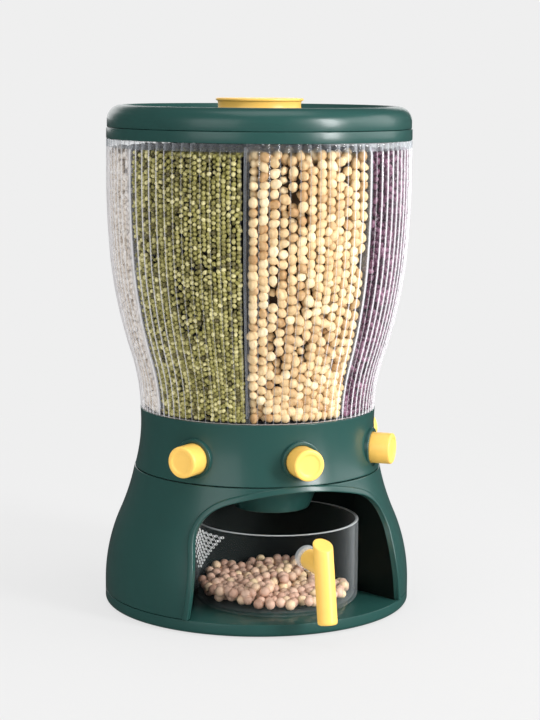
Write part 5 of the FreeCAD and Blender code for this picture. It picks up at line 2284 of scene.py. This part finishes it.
@dataclass
class Studio:
    """Camera at the photograph's angle, pale floor and soft light."""

    lens: float = 97.7
    sensor: float = 36.0
    azimuth: float = math.radians(-20.6)
    distance: float = 1.3919
    height: float = 0.3808
    pan: float = math.radians(0.358)
    pitch: float = math.radians(8.41)
    roll: float = math.radians(0.427)
    backdrop: float = 0.863
    world: float = 0.74
    mirrored_world: float = 0.08
    paint: float = 0.7
    glow_near: float = 0.8
    fade_start: float = 0.3
    fade_width: float = 0.5
    target: Corner = (0.0, 0.0, 0.18)

    def build_camera(self) -> None:
        """Place the camera."""
        data = bpy.data.cameras.new("view")
        data.lens = self.lens
        data.sensor_width = self.sensor
        data.clip_start = 0.05
        data.clip_end = 50.0
        camera = bpy.data.objects.new("view", data)
        bpy.context.scene.collection.objects.link(camera)
        ahead = Vector((-math.sin(self.azimuth), math.cos(self.azimuth), 0.0))
        ahead = Matrix.Rotation(-self.pan, 3, "Z") @ ahead
        up = Vector((0.0, 0.0, 1.0))
        right = ahead.cross(up).normalized()
        look = ahead * math.cos(self.pitch) - up * math.sin(self.pitch)
        lifted = up * math.cos(self.pitch) + ahead * math.sin(self.pitch)
        right_rolled = right * math.cos(self.roll) + lifted * math.sin(self.roll)
        up_rolled = lifted * math.cos(self.roll) - right * math.sin(self.roll)
        matrix = Matrix((right_rolled, up_rolled, -look)).transposed().to_4x4()
        matrix.translation = (
            math.sin(self.azimuth) * self.distance,
            -math.cos(self.azimuth) * self.distance,
            self.height,
        )
        camera.matrix_world = matrix
        bpy.context.scene.camera = camera

    def build_floor(self) -> None:
        """Pale floor that shows as the backdrop does and keeps the object's shadow."""
        nothing_selected()
        bpy.ops.mesh.primitive_plane_add(size=40.0, location=(0, 0, 0))
        floor = named("floor")
        shader = Shader(bpy.data.materials.new("pale_floor"))
        sockets = {"Base Color": grey(self.paint), "Roughness": 0.9, "Specular IOR Level": 0.1}
        paint = shader.node("BsdfPrincipled", sockets=sockets)
        glow = shader.node("Emission", sockets={"Color": grey(self.backdrop), "Strength": 1.0})
        dim = shader.node("Emission", sockets={"Color": grey(1.0), "Strength": self.mirrored_world})
        camera = shader.node("LightPath", output="Is Camera Ray")
        glossy = shader.node("LightPath", output="Is Glossy Ray")
        across, ahead = (shader.part_of_place(axis) for axis in (0, 1))
        reach = (across * across + ahead * ahead) ** 0.5
        fade = ((reach - self.fade_start) / self.fade_width).at_least(0.0).at_most(1.0)
        share = camera * (fade * (1.0 - self.glow_near) + self.glow_near)
        lit = shader.node("MixShader", sockets={0: share, 1: paint, 2: glow})
        mixed = shader.node("MixShader", sockets={0: glossy, 1: lit, 2: dim})
        shader.close("OutputMaterial", mixed)
        floor.data.materials.append(shader.owner)

    def build_world(self) -> None:
        """Even light all round, and the pale backdrop where it is seen."""
        shader = Shader(bpy.data.worlds.new("studio"))
        light = shader.node("Background", sockets={"Color": grey(1.0), "Strength": self.world})
        dim = shader.node("Background", sockets={"Color": grey(1.0), "Strength": self.mirrored_world})
        seen = shader.node("Background", sockets={"Color": grey(self.backdrop), "Strength": 1.0})
        glossy = shader.node("LightPath", output="Is Glossy Ray")
        camera = shader.node("LightPath", output="Is Camera Ray")
        lit = shader.node("MixShader", sockets={0: glossy, 1: light, 2: dim})
        mixed = shader.node("MixShader", sockets={0: camera, 1: lit, 2: seen})
        shader.close("OutputWorld", mixed)
        bpy.context.scene.world = shader.owner

    def add_lamp(self, box: SoftBox) -> None:
        """Add one lamp that looks at the middle of the object and isn't seen itself.

        Args:
            box: The lamp.
        """
        data = bpy.data.lights.new(box.name, "AREA")
        data.shape = "RECTANGLE"
        data.size, data.size_y = box.size
        data.energy = box.power
        lamp = bpy.data.objects.new(box.name, data)
        bpy.context.scene.collection.objects.link(lamp)
        aim = (Vector(self.target) - Vector(box.place)).to_track_quat("-Z", "Y")
        lamp.matrix_world = Matrix.Translation(box.place) @ aim.to_matrix().to_4x4()
        lamp.visible_camera = False

    def build(self) -> None:
        """Set the scene."""
        self.build_camera()
        self.build_floor()
        self.build_world()
        for box in SOFT_BOXES:
            self.add_lamp(box)
        bpy.context.scene.view_settings.view_transform = "Standard"


def main() -> None:
    """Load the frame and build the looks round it."""
    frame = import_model()
    nothing_selected()
    Studio().build()
    dress_frame(frame)
    Base().build()
    ButtonBand().build()
    hopper = Hopper()
    hopper.build()
    Lid().build()
    cup = Cup()
    cup.build()
    Pantry(hopper, cup).build()
    nothing_selected()


if __name__ == "__main__":
    main()
